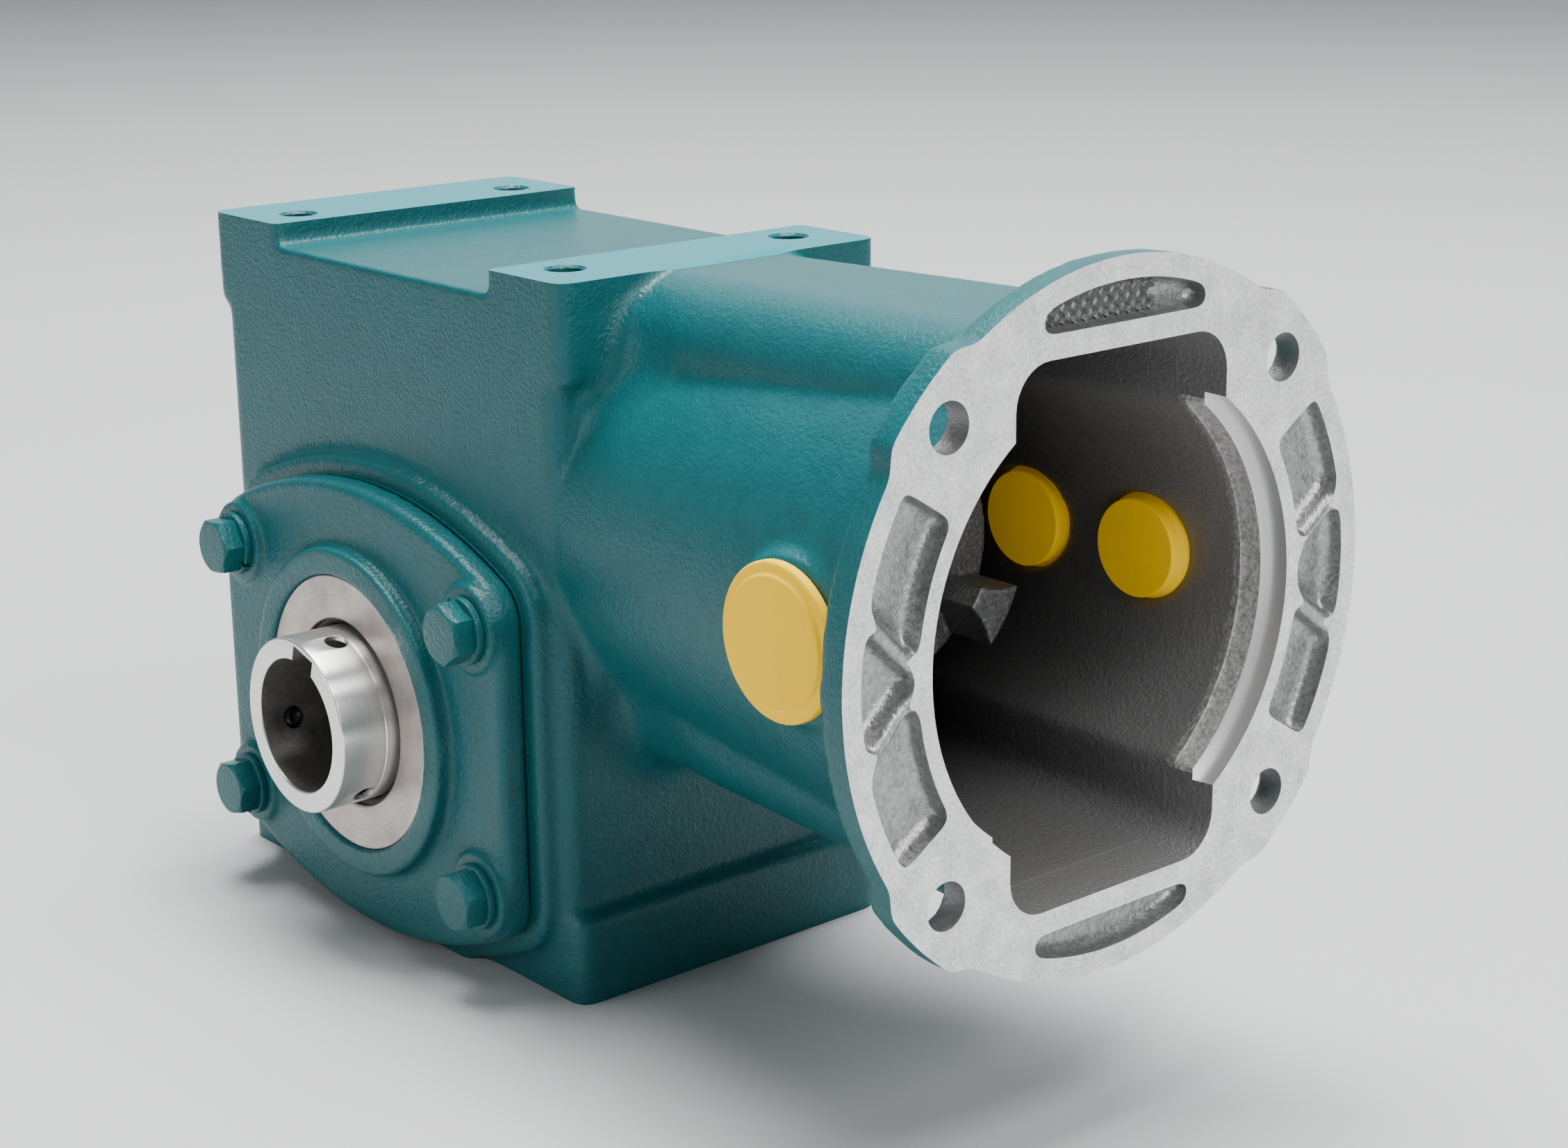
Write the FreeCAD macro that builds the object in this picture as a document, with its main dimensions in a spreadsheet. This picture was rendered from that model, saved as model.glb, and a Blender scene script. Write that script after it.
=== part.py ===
import FreeCAD, Part
import math
import os

import Sketcher

V = FreeCAD.Vector

# Worm gear reducer: a cast case holds a wheel on a hollow output shaft, with the worm above it
# and a bell with a flange for the motor. The origin is the centre of the output bore, +Y runs
# along the output shaft, +X from the case towards the motor flange and +Z up to the worm.
# Sizes are millimetres, angles degrees.

doc = FreeCAD.newDocument("worm_gear_reducer")
sheet = doc.addObject("Spreadsheet::Sheet", "dims")

SIZES = [
    # Gears
    ("centre_distance", 60.325, "output axis to worm axis"),
    ("gear_module", 3, "axial module of the worm"),
    ("wheel_teeth", 30, "teeth on the wheel, one start on the worm"),
    ("pressure_angle", 20, "flank angle of the worm thread"),
    ("thread_turns", 4, "turns of thread on the worm"),
    ("tip_clearance", 0.6, "tip of one gear to root of the other"),
    ("flank_play", 0.12, "play at each flank"),
    ("wheel_width", 26, "toothed width of the wheel"),
    ("wheel_radius", 50, "outside of the wheel beside the throat"),
    ("wheel_hub_radius", 33, "hub of the wheel"),
    # Case
    ("case_half_width", 51.7, "case side from the middle plane"),
    ("case_front", 78.5, "front wall from the output axis"),
    ("case_rear", 82, "rear wall from the output axis"),
    ("case_top", 64.8, "top pads above the worm axis"),
    ("case_base", 63.7, "foot face below the output axis"),
    ("case_wall", 8, "end walls, floor and roof"),
    ("case_corner", 5, "upright corner radius"),
    ("band_step", 3.5, "pads and foot proud of the end walls"),
    ("band_height", 26, "height of the upper band"),
    ("foot_height", 23.7, "height of the foot band"),
    ("pad_corner", 4, "corner radius of pads and foot"),
    ("recess_width", 101.6, "recess between the two top pads"),
    ("recess_depth", 6, "recess below the pads"),
    ("mount_length", 127, "mounting holes along X"),
    ("mount_width", 73, "mounting holes along Y"),
    ("mount_thread", 9.525, "mounting thread"),
    ("mount_depth", 14, "depth of the mounting holes"),
    ("mount_boss", 18, "square bosses round the mounting holes, inside"),
    # Bell and motor flange
    ("flange_face", 218, "flange face from the output axis"),
    ("flange_thickness", 8, "flange rim"),
    ("flange_diameter", 165.1, "flange outside"),
    ("ear_diameter", 171.6, "flange across its four ears"),
    ("ear_half_angle", 8.5, "half angle of an ear"),
    ("ear_run", 3.5, "angle over which an ear falls to the rim"),
    ("bolt_circle", 149.225, "motor bolt circle"),
    ("flange_hole", 11.4, "motor bolt hole"),
    ("pilot_diameter", 114.3, "motor pilot"),
    ("pilot_depth", 6, "depth of the pilot"),
    ("shoulder_radius", 54.7, "land inside the pilot"),
    ("bell_floor", 84, "inner end of the bell from the output axis"),
    ("bell_floor_radius", 47, "bell space at its inner end"),
    ("bulge_root_radius", 52, "bell outside at the case"),
    ("bulge_mouth_radius", 66, "bell outside at the flange"),
    ("hump_root_half", 33, "half width of the bell's hump at the case"),
    ("hump_root_height", 64.5, "bell top and underside at the case"),
    ("hump_mouth_half", 39, "half width of the bell's hump at the flange"),
    ("hump_mouth_height", 67, "bell top and underside at the flange"),
    ("hump_corner", 18, "long edges of the bell"),
    ("lobe_half_width", 33.4, "half width of the flange opening's lobes"),
    ("lobe_half_height", 62.6, "half height of the flange opening"),
    ("lobe_corner", 10, "corners of the flange opening"),
    ("lobe_taper", 3.3, "taper of the lobes into the bell"),
    ("pocket_depth", 5, "relief pockets in the flange face"),
    ("pocket_inner_radius", 61.2, "side pockets, inner arc"),
    ("pocket_rim", 5.35, "flange wall outside the pockets"),
    ("pocket_half_angle", 32.5, "side pockets, half angle"),
    ("crescent_half", 25.4, "top and bottom pockets, half length"),
    ("crescent_depth", 9.1, "crescent pockets, inwards"),
    ("rib_width", 5, "pocket ribs"),
    ("rib_drop", 1, "rib crests below the flange face"),
    ("rib_bite", 0.5, "ribs run this far into the pocket walls"),
    ("rib_outer_angle", 12.5, "outer ends of the ribs"),
    ("near_rib_angle", 1.5, "inner ends of the near side ribs"),
    ("far_rib_angle", 5, "inner ends of the far side ribs"),
    # Access plugs in the bell's sides
    ("plug_offset", 40.5, "outer plugs behind the flange face"),
    ("plug_spacing", 38.5, "second far plug behind the first"),
    ("plug_seat", 63.5, "plug seats from the middle plane"),
    ("plug_seat_radius", 19.6, "plug seats"),
    ("plug_hole_radius", 13.35, "holes for the plugs"),
    ("plug_radius", 18.4, "plug rim"),
    ("plug_rim", 2.5, "plug rim thickness"),
    ("plug_shank", 14, "shank below the seat"),
    # Output cover
    ("cover_half_width", 68.5, "cover from the output axis"),
    ("cover_half_height", 62.5, "crown of the cover's arcs"),
    ("cover_arc", 140, "radius of the cover's arcs"),
    ("cover_corner", 12, "corner radius of the cover"),
    ("cover_thickness", 7.5, "cover plate"),
    ("cover_edge", 1.6, "chamfer of the cover's rim"),
    ("land_margin", 5, "case land round the cover"),
    ("land_step", 4.8, "land proud of the case side"),
    ("gasket_thickness", 0.5, "gasket between land and cover"),
    ("opening_radius", 52, "opening in the case for the wheel"),
    ("hub_ring_radius", 45.5, "ring round the oil seal"),
    ("hub_ring_height", 4.5, "ring proud of the cover plate"),
    ("bolt_span_x", 114, "cover bolts along X"),
    ("bolt_span_z", 72, "cover bolts along Z"),
    ("bolt_diameter", 9.525, "cover bolt"),
    ("bolt_flats", 14.29, "cover bolt across flats"),
    ("bolt_head", 8, "cover bolt head with its washer"),
    ("bolt_engagement", 11, "cover bolt in the case"),
    ("bolt_play", 0.4, "cover bolt to its hole in the cover"),
    ("boss_radius", 11.5, "bolt bosses on the cover"),
    ("boss_height", 2, "bolt bosses on the cover"),
    # Output shaft
    ("shaft_half_length", 84, "hollow shaft from the middle plane"),
    ("shaft_bore", 36.5125, "bore of the hollow shaft"),
    ("keyway_width", 9.525, "keyway in the bore"),
    ("keyway_reach", 22.4, "keyway floor from the axis"),
    ("keyway_angle", 16.3, "keyway from straight up, towards the flange"),
    ("shaft_end_radius", 24, "hollow shaft outside"),
    ("collar_radius", 30, "collar between wheel and far bearing"),
    ("collar_start", 20, "collar from the middle plane"),
    ("wheel_key_width", 8, "key of the wheel"),
    ("wheel_key_depth", 2.5, "wheel key in shaft and in hub"),
    ("wheel_key_half", 16, "half length of the wheel key"),
    ("screw_radius", 3.175, "set screw holes"),
    ("screw_inset", 10, "set screw holes from the shaft ends"),
    ("screw_count", 3, "set screw holes at each end"),
    # Output bearings and seals
    ("bearing_face", 42, "inner faces of the output bearings"),
    ("bearing_bore", 50, "output bearing"),
    ("bearing_outside", 80, "output bearing"),
    ("bearing_width", 16, "output bearing"),
    ("seal_outside", 76.2, "output seal"),
    ("seal_width", 10, "output seal"),
    ("seal_lip_gap", 0.05, "seal lip to shaft"),
    # Worm shaft, its bearings and input seal
    ("front_bearing_at", 54, "front bearing from the output axis"),
    ("front_bearing_bore", 30, "front bearing"),
    ("front_bearing_outside", 62, "front bearing"),
    ("front_bearing_width", 16, "front bearing"),
    ("rear_bearing_at", 55, "rear bearing from the output axis"),
    ("rear_bearing_bore", 25, "rear bearing"),
    ("rear_bearing_outside", 52, "rear bearing"),
    ("rear_bearing_width", 15, "rear bearing"),
    ("bearing_shoulder", 3, "shoulders of the worm shaft"),
    ("bearing_boss_wall", 6.5, "case wall round the worm bearings"),
    ("bearing_stop", 3, "case lip behind the front bearing"),
    ("bearing_stop_height", 4.5, "case lip behind the front bearing"),
    ("relief_radius", 17, "relief in the floor of the rear bore"),
    ("relief_depth", 2, "relief in the floor of the rear bore"),
    ("ring_width", 1.5, "retaining ring"),
    ("ring_depth", 1.4, "groove of the retaining ring"),
    ("ring_reach", 3.5, "retaining ring inside the bore"),
    ("ring_gap", 0.2, "retaining ring in its groove"),
    ("input_seal_at", 75, "input seal from the output axis"),
    ("input_seal_width", 8, "input seal"),
    ("journal_end", 86, "end of the seal journal"),
    ("worm_end_radius", 11.1125, "coupling seat of the worm shaft"),
    # Coupling half on the worm shaft
    ("coupling_face", 143, "coupling disc from the output axis"),
    ("coupling_length", 27, "coupling body"),
    ("coupling_radius", 32.15, "coupling body"),
    ("jaw_length", 15, "jaws"),
    ("jaw_outer_radius", 30.5, "jaws"),
    ("jaw_inner_radius", 17.9, "jaws"),
    ("jaw_outer_angle", 15.8, "half angle of a jaw at its outer arc"),
    ("jaw_inner_angle", 9.5, "half angle of a jaw at its inner arc"),
    ("jaw_flank", 22, "hollow of the jaw flanks"),
    ("jaw_turn", -34, "first jaw from the far side, about the worm axis"),
    ("coupling_key_width", 4.7625, "coupling key"),
    ("coupling_key_depth", 2.4, "coupling key in shaft and in hub"),
    ("coupling_key_length", 22, "coupling key"),
    # Oil plugs
    ("oil_plug_radius", 8.5, "oil plugs"),
    ("oil_plug_length", 7, "oil plugs"),
    ("oil_plug_socket", 8, "oil plugs, socket across flats"),
    ("oil_plug_socket_depth", 4, "oil plugs"),
    ("level_height", 10, "level plug above the output axis"),
    ("drain_height", -30, "drain plug above the output axis"),
    ("fill_height", 94, "fill plug above the output axis"),
    ("fill_place", -48, "fill plug along X"),
    # Fits
    ("slide_gap", 0.05, "easy fits between parts that come apart"),
    ("overrun", 1, "cuts and pads run this far past the faces they open or join"),
    ("thread_bite", 0.3, "worm thread runs this far into its root"),
]

for row, (name, size, note) in enumerate(SIZES, start=1):
    sheet.set(f"A{row}", note)
    sheet.set(f"B{row}", str(size))
    sheet.setAlias(f"B{row}", name)
doc.recompute()

# Sizes that follow from the driving ones, as expressions
PITCH = "(pi * dims.gear_module)"
WHEEL_PITCH_RADIUS = "(dims.gear_module * dims.wheel_teeth / 2)"
WORM_PITCH_RADIUS = f"(dims.centre_distance - {WHEEL_PITCH_RADIUS})"
WORM_TIP_RADIUS = f"({WORM_PITCH_RADIUS} + dims.gear_module)"
WORM_ROOT_RADIUS = f"({WORM_PITCH_RADIUS} - dims.gear_module - dims.tip_clearance)"
LEAD_SLOPE = f"(dims.gear_module / 2 / {WORM_PITCH_RADIUS})"
TOP_PLANE = "(dims.centre_distance + dims.case_top)"
POCKET_REACH = "(dims.flange_diameter / 2 - dims.pocket_rim)"
FLANGE_BACK = "(dims.flange_face - dims.flange_thickness)"
LAND_FACE = "(dims.case_half_width + dims.land_step)"
COVER_BACK = f"({LAND_FACE} + dims.gasket_thickness)"
COVER_FACE = f"({COVER_BACK} + dims.cover_thickness)"
HUB_FACE = f"({COVER_FACE} + dims.hub_ring_height)"
BOSS_FACE = f"({COVER_FACE} + dims.boss_height)"
BEARING_BACK = "(dims.bearing_face + dims.bearing_width)"
BEARING_RADIUS = "(dims.bearing_outside / 2)"
SHAFT_SEAT = "(dims.bearing_bore / 2)"
FRONT_BORE = "(dims.front_bearing_outside / 2)"
REAR_BORE = "(dims.rear_bearing_outside / 2)"
FRONT_BEARING_END = "(dims.front_bearing_at + dims.front_bearing_width)"
REAR_BORE_END = "(dims.rear_bearing_at + dims.rear_bearing_width)"
FOOT_PLANE = "(-dims.case_base)"
SIDE_WALL = "(dims.case_half_width - dims.bearing_face)"
THROUGH = "(2 * dims.flange_face)"
JAW_COUNT = 3
EAR_ANGLES = (45, 135, 225, 315)
BOLT_TURNS = (5, 35, 12, 20)
HEXAGON_SIDES = 6
LENGTHWISE = 0.9
PLACE_TOLERANCE = 0.01
GAP_OVERRUN = 0.5
THROAT_BEVEL = 12
FLANK_STEPS = 3


def value(expression):
    """Number that an expression has with the sheet's sizes."""
    return float(sheet.evalExpression(str(expression)))


def polar(radius, angle, centre=("0", "0")):
    """Point at a radius and an angle in degrees, as a pair of expressions."""
    across = f"{centre[0]} + {radius} * cos(({angle}) * 1 deg)"
    up = f"{centre[1]} + {radius} * sin(({angle}) * 1 deg)"
    return across, up


def new_body(label, several=False):
    """Empty body of a sub-part; several lets it hold separate solids."""
    body = doc.addObject("PartDesign::Body", label)
    body.Label = label
    body.AllowCompound = several
    return body


def new_sketch(body, name, plane, offset="0", rise="0"):
    """Sketch on an origin plane of the body, moved along its normal and its upward axis."""
    sketch = body.newObject("Sketcher::SketchObject", name)
    support = next(f for f in body.Origin.OriginFeatures if f.Role == plane)
    sketch.AttachmentSupport = [(support, "")]
    sketch.MapMode = "FlatFace"
    sketch.setExpression(".AttachmentOffset.Base.z", offset)
    sketch.setExpression(".AttachmentOffset.Base.y", rise)
    return sketch


def bind_point(sketch, geometry, place, point):
    """Ties a point of the sketch to a pair of expressions."""
    for kind, axis, expression in zip(("DistanceX", "DistanceY"), (-2, -1), point):
        if expression == "0":
            sketch.addConstraint(Sketcher.Constraint("PointOnObject", geometry, place, axis))
            continue
        index = sketch.addConstraint(
            Sketcher.Constraint(kind, -1, 1, geometry, place, value(expression)))
        sketch.setExpression(f"Constraints[{index}]", expression)


def draw_circle(sketch, point, radius):
    """Full circle about a point."""
    centre = V(value(point[0]), value(point[1]), 0)
    index = sketch.addGeometry(Part.Circle(centre, V(0, 0, 1), value(radius)), False)
    bind_point(sketch, index, 3, point)
    rule = sketch.addConstraint(Sketcher.Constraint("Radius", index, value(radius)))
    sketch.setExpression(f"Constraints[{rule}]", radius)


def draw_loop(sketch, points, arcs=None):
    """Closed outline through points. arcs maps the number of a side to its radius; a side
    bulges to the right of the way round, or to the left when the radius starts with a minus."""
    arcs = arcs or {}
    spots = [V(value(x), value(y), 0) for x, y in points]
    first_ends = []
    last_ends = []
    for number, spot in enumerate(spots):
        target = spots[(number + 1) % len(spots)]
        if number not in arcs:
            index = sketch.addGeometry(Part.LineSegment(spot, target), False)
            first_ends.append((index, 1))
            last_ends.append((index, 2))
            continue
        bend = arcs[number]
        outward = not bend.startswith("-")
        bend = bend.lstrip("-")
        radius = value(bend)
        half_chord = (target - spot) * 0.5
        left = V(-half_chord.y, half_chord.x, 0).normalize()
        reach = math.sqrt(max(radius ** 2 - half_chord.Length ** 2, 0))
        centre = spot + half_chord + left * (reach if outward else -reach)
        start, end = (spot, target) if outward else (target, spot)
        angles = [math.atan2(p.y - centre.y, p.x - centre.x) for p in (start, end)]
        arc = Part.ArcOfCircle(Part.Circle(centre, V(0, 0, 1), radius), *angles)
        index = sketch.addGeometry(arc, False)
        first_ends.append((index, 1 if outward else 2))
        last_ends.append((index, 2 if outward else 1))
        rule = sketch.addConstraint(Sketcher.Constraint("Radius", index, radius))
        sketch.setExpression(f"Constraints[{rule}]", bend)
    for number, point in enumerate(points):
        before = last_ends[number - 1]
        after = first_ends[number]
        sketch.addConstraint(Sketcher.Constraint("Coincident", *before, *after))
        bind_point(sketch, *after, point)


def draw_rounded(sketch, left, right, low, high, radius):
    """Rectangle with round corners."""
    points = [
        (f"{left} + {radius}", low), (f"{right} - {radius}", low),
        (right, f"{low} + {radius}"), (right, f"{high} - {radius}"),
        (f"{right} - {radius}", high), (f"{left} + {radius}", high),
        (left, f"{high} - {radius}"), (left, f"{low} + {radius}"),
    ]
    draw_loop(sketch, points, {1: radius, 3: radius, 5: radius, 7: radius})


def draw_hexagon(sketch, centre, flats, turn):
    """Hexagon given across flats, its first corner at an angle."""
    corner = f"({flats} / sqrt(3))"
    draw_loop(sketch, [polar(corner, f"{turn} + {side} * 360 / {HEXAGON_SIDES}", centre)
                       for side in range(HEXAGON_SIDES)])


def extrude(body, kind, name, sketch, length, back=False, both=False):
    """Pad or Pocket of a sketch."""
    feature = body.newObject(f"PartDesign::{kind}", name)
    feature.Profile = sketch
    feature.setExpression("Length", length)
    feature.Reversed = back
    if both:
        feature.SideType = "Symmetric"
    return feature


def turn(body, kind, name, sketch, axis):
    """Revolution or Groove of a sketch about one of its axes."""
    feature = body.newObject(f"PartDesign::{kind}", name)
    feature.Profile = sketch
    feature.ReferenceAxis = (sketch, [axis])
    feature.Angle = 360
    return feature


def pattern(body, name, feature, axis, count):
    """Copies of a feature, evenly round an origin axis of the body."""
    copies = body.newObject("PartDesign::PolarPattern", name)
    copies.Originals = [feature]
    copies.Axis = (next(f for f in body.Origin.OriginFeatures if f.Role == axis), [""])
    copies.Angle = 360
    copies.setExpression("Occurrences", count)
    body.Tip = copies
    return copies


def soften(body, kind, name, size, wanted):
    """Fillet or Chamfer on the edges that a test picks from the body so far."""
    doc.recompute()
    base = body.Tip
    edges = [f"Edge{n}" for n, edge in enumerate(base.Shape.Edges, start=1) if wanted(edge)]
    feature = body.newObject(f"PartDesign::{kind}", name)
    feature.Base = (base, edges)
    feature.setExpression("Radius" if kind == "Fillet" else "Size", size)
    return feature


def add_ring(body, name, plane, inner, outer, start, end):
    """Plain ring in a body: about Y where the plane is XY_Plane, about X where it is XZ_Plane."""
    sketch = new_sketch(body, f"{name}_section", plane)
    if plane == "XY_Plane":
        draw_loop(sketch, [(inner, start), (outer, start), (outer, end), (inner, end)])
        return turn(body, "Revolution", name, sketch, "V_Axis")
    draw_loop(sketch, [(start, inner), (end, inner), (end, outer), (start, outer)])
    return turn(body, "Revolution", name, sketch, "H_Axis")


def raise_to_worm(body):
    """Puts a body that was drawn about its own X axis on the worm axis."""
    body.setExpression(".Placement.Base.z", "dims.centre_distance")
    return body


def cover_outline(sketch, margin):
    """Outline of the cover, or of the case land that is larger all round by a margin."""
    half_width = f"(dims.cover_half_width + {margin})"
    arc = f"(dims.cover_arc + {margin})"
    corner = f"(dims.cover_corner + {margin})"
    arc_centre = f"(dims.cover_half_height - dims.cover_arc)"
    corner_rise = f"sqrt(({arc} - {corner})^2 - ({half_width} - {corner})^2)"
    side = f"({arc_centre} + {corner_rise})"
    touch_x = f"(({half_width} - {corner}) * {arc} / ({arc} - {corner}))"
    touch_z = f"({arc_centre} + {corner_rise} * {arc} / ({arc} - {corner}))"
    points = [
        (f"-{touch_x}", f"-{touch_z}"), (touch_x, f"-{touch_z}"), (half_width, f"-{side}"),
        (half_width, side), (touch_x, touch_z), (f"-{touch_x}", touch_z),
        (f"-{half_width}", side), (f"-{half_width}", f"-{side}"),
    ]
    draw_loop(sketch, points, {0: arc, 1: corner, 3: corner, 4: arc, 5: corner, 7: corner})


def bolt_places():
    """The four cover bolts seen from the near side, as sketch points."""
    across = "(dims.bolt_span_x / 2)"
    up = "(dims.bolt_span_z / 2)"
    return [(f"-{across}", up), (across, up), (f"-{across}", f"-{up}"), (across, f"-{up}")]


def mount_places():
    """The four mounting holes, as points along X and Y."""
    along = "(dims.mount_length / 2)"
    across = "(dims.mount_width / 2)"
    return [(f"-{along}", across), (along, across), (f"-{along}", f"-{across}"), (along, f"-{across}")]


def box_loop(sketch, centre, half_width, half_height):
    """Rectangle about a point."""
    across, up = centre
    draw_loop(sketch, [(f"{across} - {half_width}", f"{up} - {half_height}"),
                       (f"{across} + {half_width}", f"{up} - {half_height}"),
                       (f"{across} + {half_width}", f"{up} + {half_height}"),
                       (f"{across} - {half_width}", f"{up} + {half_height}")])


def bell_hump(body):
    """Upright hump of the bell, which widens and rises towards the flange."""
    side = new_sketch(body, "hump_side", "XZ_Plane", rise="dims.centre_distance")
    draw_loop(side, [("dims.case_front - dims.overrun", "-dims.hump_root_height"),
                     (FLANGE_BACK, "-dims.hump_mouth_height"),
                     (FLANGE_BACK, "dims.hump_mouth_height"),
                     ("dims.case_front - dims.overrun", "dims.hump_root_height")])
    extrude(body, "Pad", "hump", side, "dims.hump_mouth_half * 2", both=True)
    flanks = new_sketch(body, "hump_flanks", "XY_Plane")
    root = "(dims.case_front - dims.overrun)"
    for sign in ("", "-"):
        points = [(root, f"{sign}dims.hump_root_half"), (FLANGE_BACK, f"{sign}dims.hump_mouth_half"),
                  (root, f"{sign}dims.hump_mouth_half")]
        draw_loop(flanks, points if sign == "" else points[::-1])
    extrude(body, "Pocket", "hump_taper", flanks, THROUGH, both=True)
    soften(body, "Fillet", "hump_edges", "dims.hump_corner", long_edge)


def long_edge(edge):
    """Edges that run most of the way along X."""
    run = edge.Vertexes[1].Point - edge.Vertexes[0].Point
    return abs(run.x) > LENGTHWISE * run.Length


def case_block(body):
    """Case with its proud upper band and foot, before it is hollowed."""
    height = f"(dims.case_base + {TOP_PLANE})"
    block = new_sketch(body, "block_outline", "XY_Plane", FOOT_PLANE)
    draw_rounded(block, "-dims.case_rear", "dims.case_front",
                 "-dims.case_half_width", "dims.case_half_width", "dims.case_corner")
    extrude(body, "Pad", "block", block, height)
    bands = [("upper_band", f"({TOP_PLANE} - dims.band_height)", "dims.band_height"),
             ("foot_band", FOOT_PLANE, "dims.foot_height")]
    for name, start, length in bands:
        outline = new_sketch(body, f"{name}_outline", "XY_Plane", start)
        draw_rounded(outline, "-(dims.case_rear + dims.band_step)",
                     "(dims.case_front + dims.band_step)", "-dims.case_half_width",
                     "dims.case_half_width", "dims.pad_corner")
        extrude(body, "Pad", name, outline, length)


def pad_recess(body):
    """Recess that leaves two pads on top."""
    recess = new_sketch(body, "recess_outline", "XZ_Plane")
    box_loop(recess, ("0", TOP_PLANE), "(dims.recess_width / 2)", "dims.recess_depth")
    extrude(body, "Pocket", "recess", recess, THROUGH, both=True)


def bell_bulge(body):
    """Round bulge of the bell, which widens towards the flange."""
    bulge = new_sketch(body, "bulge_section", "XZ_Plane", rise="dims.centre_distance")
    draw_loop(bulge, [("dims.case_front - dims.overrun", "0"), (FLANGE_BACK, "0"),
                      (FLANGE_BACK, "dims.bulge_mouth_radius"),
                      ("dims.case_front - dims.overrun", "dims.bulge_root_radius")])
    turn(body, "Revolution", "bulge", bulge, "H_Axis")


def flange_plate(body):
    """Round motor flange with an ear at each bolt hole."""
    disc = new_sketch(body, "flange_outline", "YZ_Plane", FLANGE_BACK, "dims.centre_distance")
    draw_circle(disc, ("0", "0"), "dims.flange_diameter / 2")
    extrude(body, "Pad", "flange", disc, "dims.flange_thickness")
    ears = new_sketch(body, "ear_outlines", "YZ_Plane", FLANGE_BACK, "dims.centre_distance")
    ear = "(dims.ear_diameter / 2)"
    rim = "(dims.flange_diameter / 2 - dims.slide_gap)"
    inside = "(dims.flange_diameter / 2 - dims.flange_thickness)"
    spread = "dims.ear_half_angle"
    foot = "(dims.ear_half_angle + dims.ear_run)"
    for middle in EAR_ANGLES:
        points = [polar(inside, f"{middle} - {foot}"), polar(rim, f"{middle} - {foot}"),
                  polar(ear, f"{middle} - {spread}"), polar(ear, f"{middle} + {spread}"),
                  polar(rim, f"{middle} + {foot}"), polar(inside, f"{middle} + {foot}")]
        draw_loop(ears, points, {2: ear})
    extrude(body, "Pad", "ears", ears, "dims.flange_thickness")


def output_lands(body):
    """Land for the cover on the near side, and the same land with its hub on the far side."""
    near = new_sketch(body, "near_land_outline", "XZ_Plane", "dims.case_half_width")
    cover_outline(near, "dims.land_margin")
    extrude(body, "Pad", "near_land", near, "dims.land_step")
    far = new_sketch(body, "far_land_outline", "XZ_Plane", f"-{LAND_FACE}")
    cover_outline(far, "dims.land_margin")
    extrude(body, "Pad", "far_land", far, "dims.land_step")
    trim = new_sketch(body, "foot_trim_outline", "XY_Plane", FOOT_PLANE)
    box_loop(trim, ("0", "0"), "(dims.case_rear * 2)", "(dims.case_rear * 2)")
    extrude(body, "Pocket", "foot_trim", trim, "dims.case_wall * 2")
    hub = new_sketch(body, "far_hub_outline", "XZ_Plane", f"-{HUB_FACE}")
    draw_circle(hub, ("0", "0"), "dims.hub_ring_radius")
    extrude(body, "Pad", "far_hub", hub, f"{HUB_FACE} - {LAND_FACE}")


def oil_space(body):
    """Hollow of the case, with square bosses left for the worm bearings and the bolts."""
    half = "dims.bearing_face"
    hollow = new_sketch(body, "hollow_outline", "XZ_Plane")
    floor = "(dims.case_wall - dims.case_base)"
    roof = f"({TOP_PLANE} - dims.recess_depth - dims.case_wall)"
    rear = "(dims.case_wall - dims.case_rear)"
    front = "(dims.case_front - dims.case_wall)"
    draw_loop(hollow, [(rear, floor), (front, floor), (front, roof), (rear, roof)])
    extrude(body, "Pocket", "hollow", hollow, f"2 * {half}", both=True)
    front_boss = new_sketch(body, "front_boss_outline", "YZ_Plane",
                            "dims.front_bearing_at - dims.bearing_stop", "dims.centre_distance")
    reach = f"({FRONT_BORE} + dims.bearing_boss_wall)"
    box_loop(front_boss, ("0", "0"), reach, reach)
    extrude(body, "Pad", "front_boss", front_boss,
            "dims.case_front - dims.front_bearing_at + dims.bearing_stop")
    rear_boss = new_sketch(body, "rear_boss_outline", "YZ_Plane", "-dims.case_rear",
                           "dims.centre_distance")
    reach = f"({REAR_BORE} + dims.bearing_boss_wall)"
    box_loop(rear_boss, ("0", "0"), reach, reach)
    extrude(body, "Pad", "rear_boss", rear_boss, "dims.case_rear - dims.rear_bearing_at")
    length = "(dims.mount_depth + dims.case_wall / 2)"
    bosses = new_sketch(body, "mount_boss_outlines", "XY_Plane", f"{TOP_PLANE} - {length}")
    for place in mount_places():
        box_loop(bosses, place, "(dims.mount_boss / 2)", "(dims.mount_boss / 2)")
    extrude(body, "Pad", "mount_bosses", bosses, length)


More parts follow.
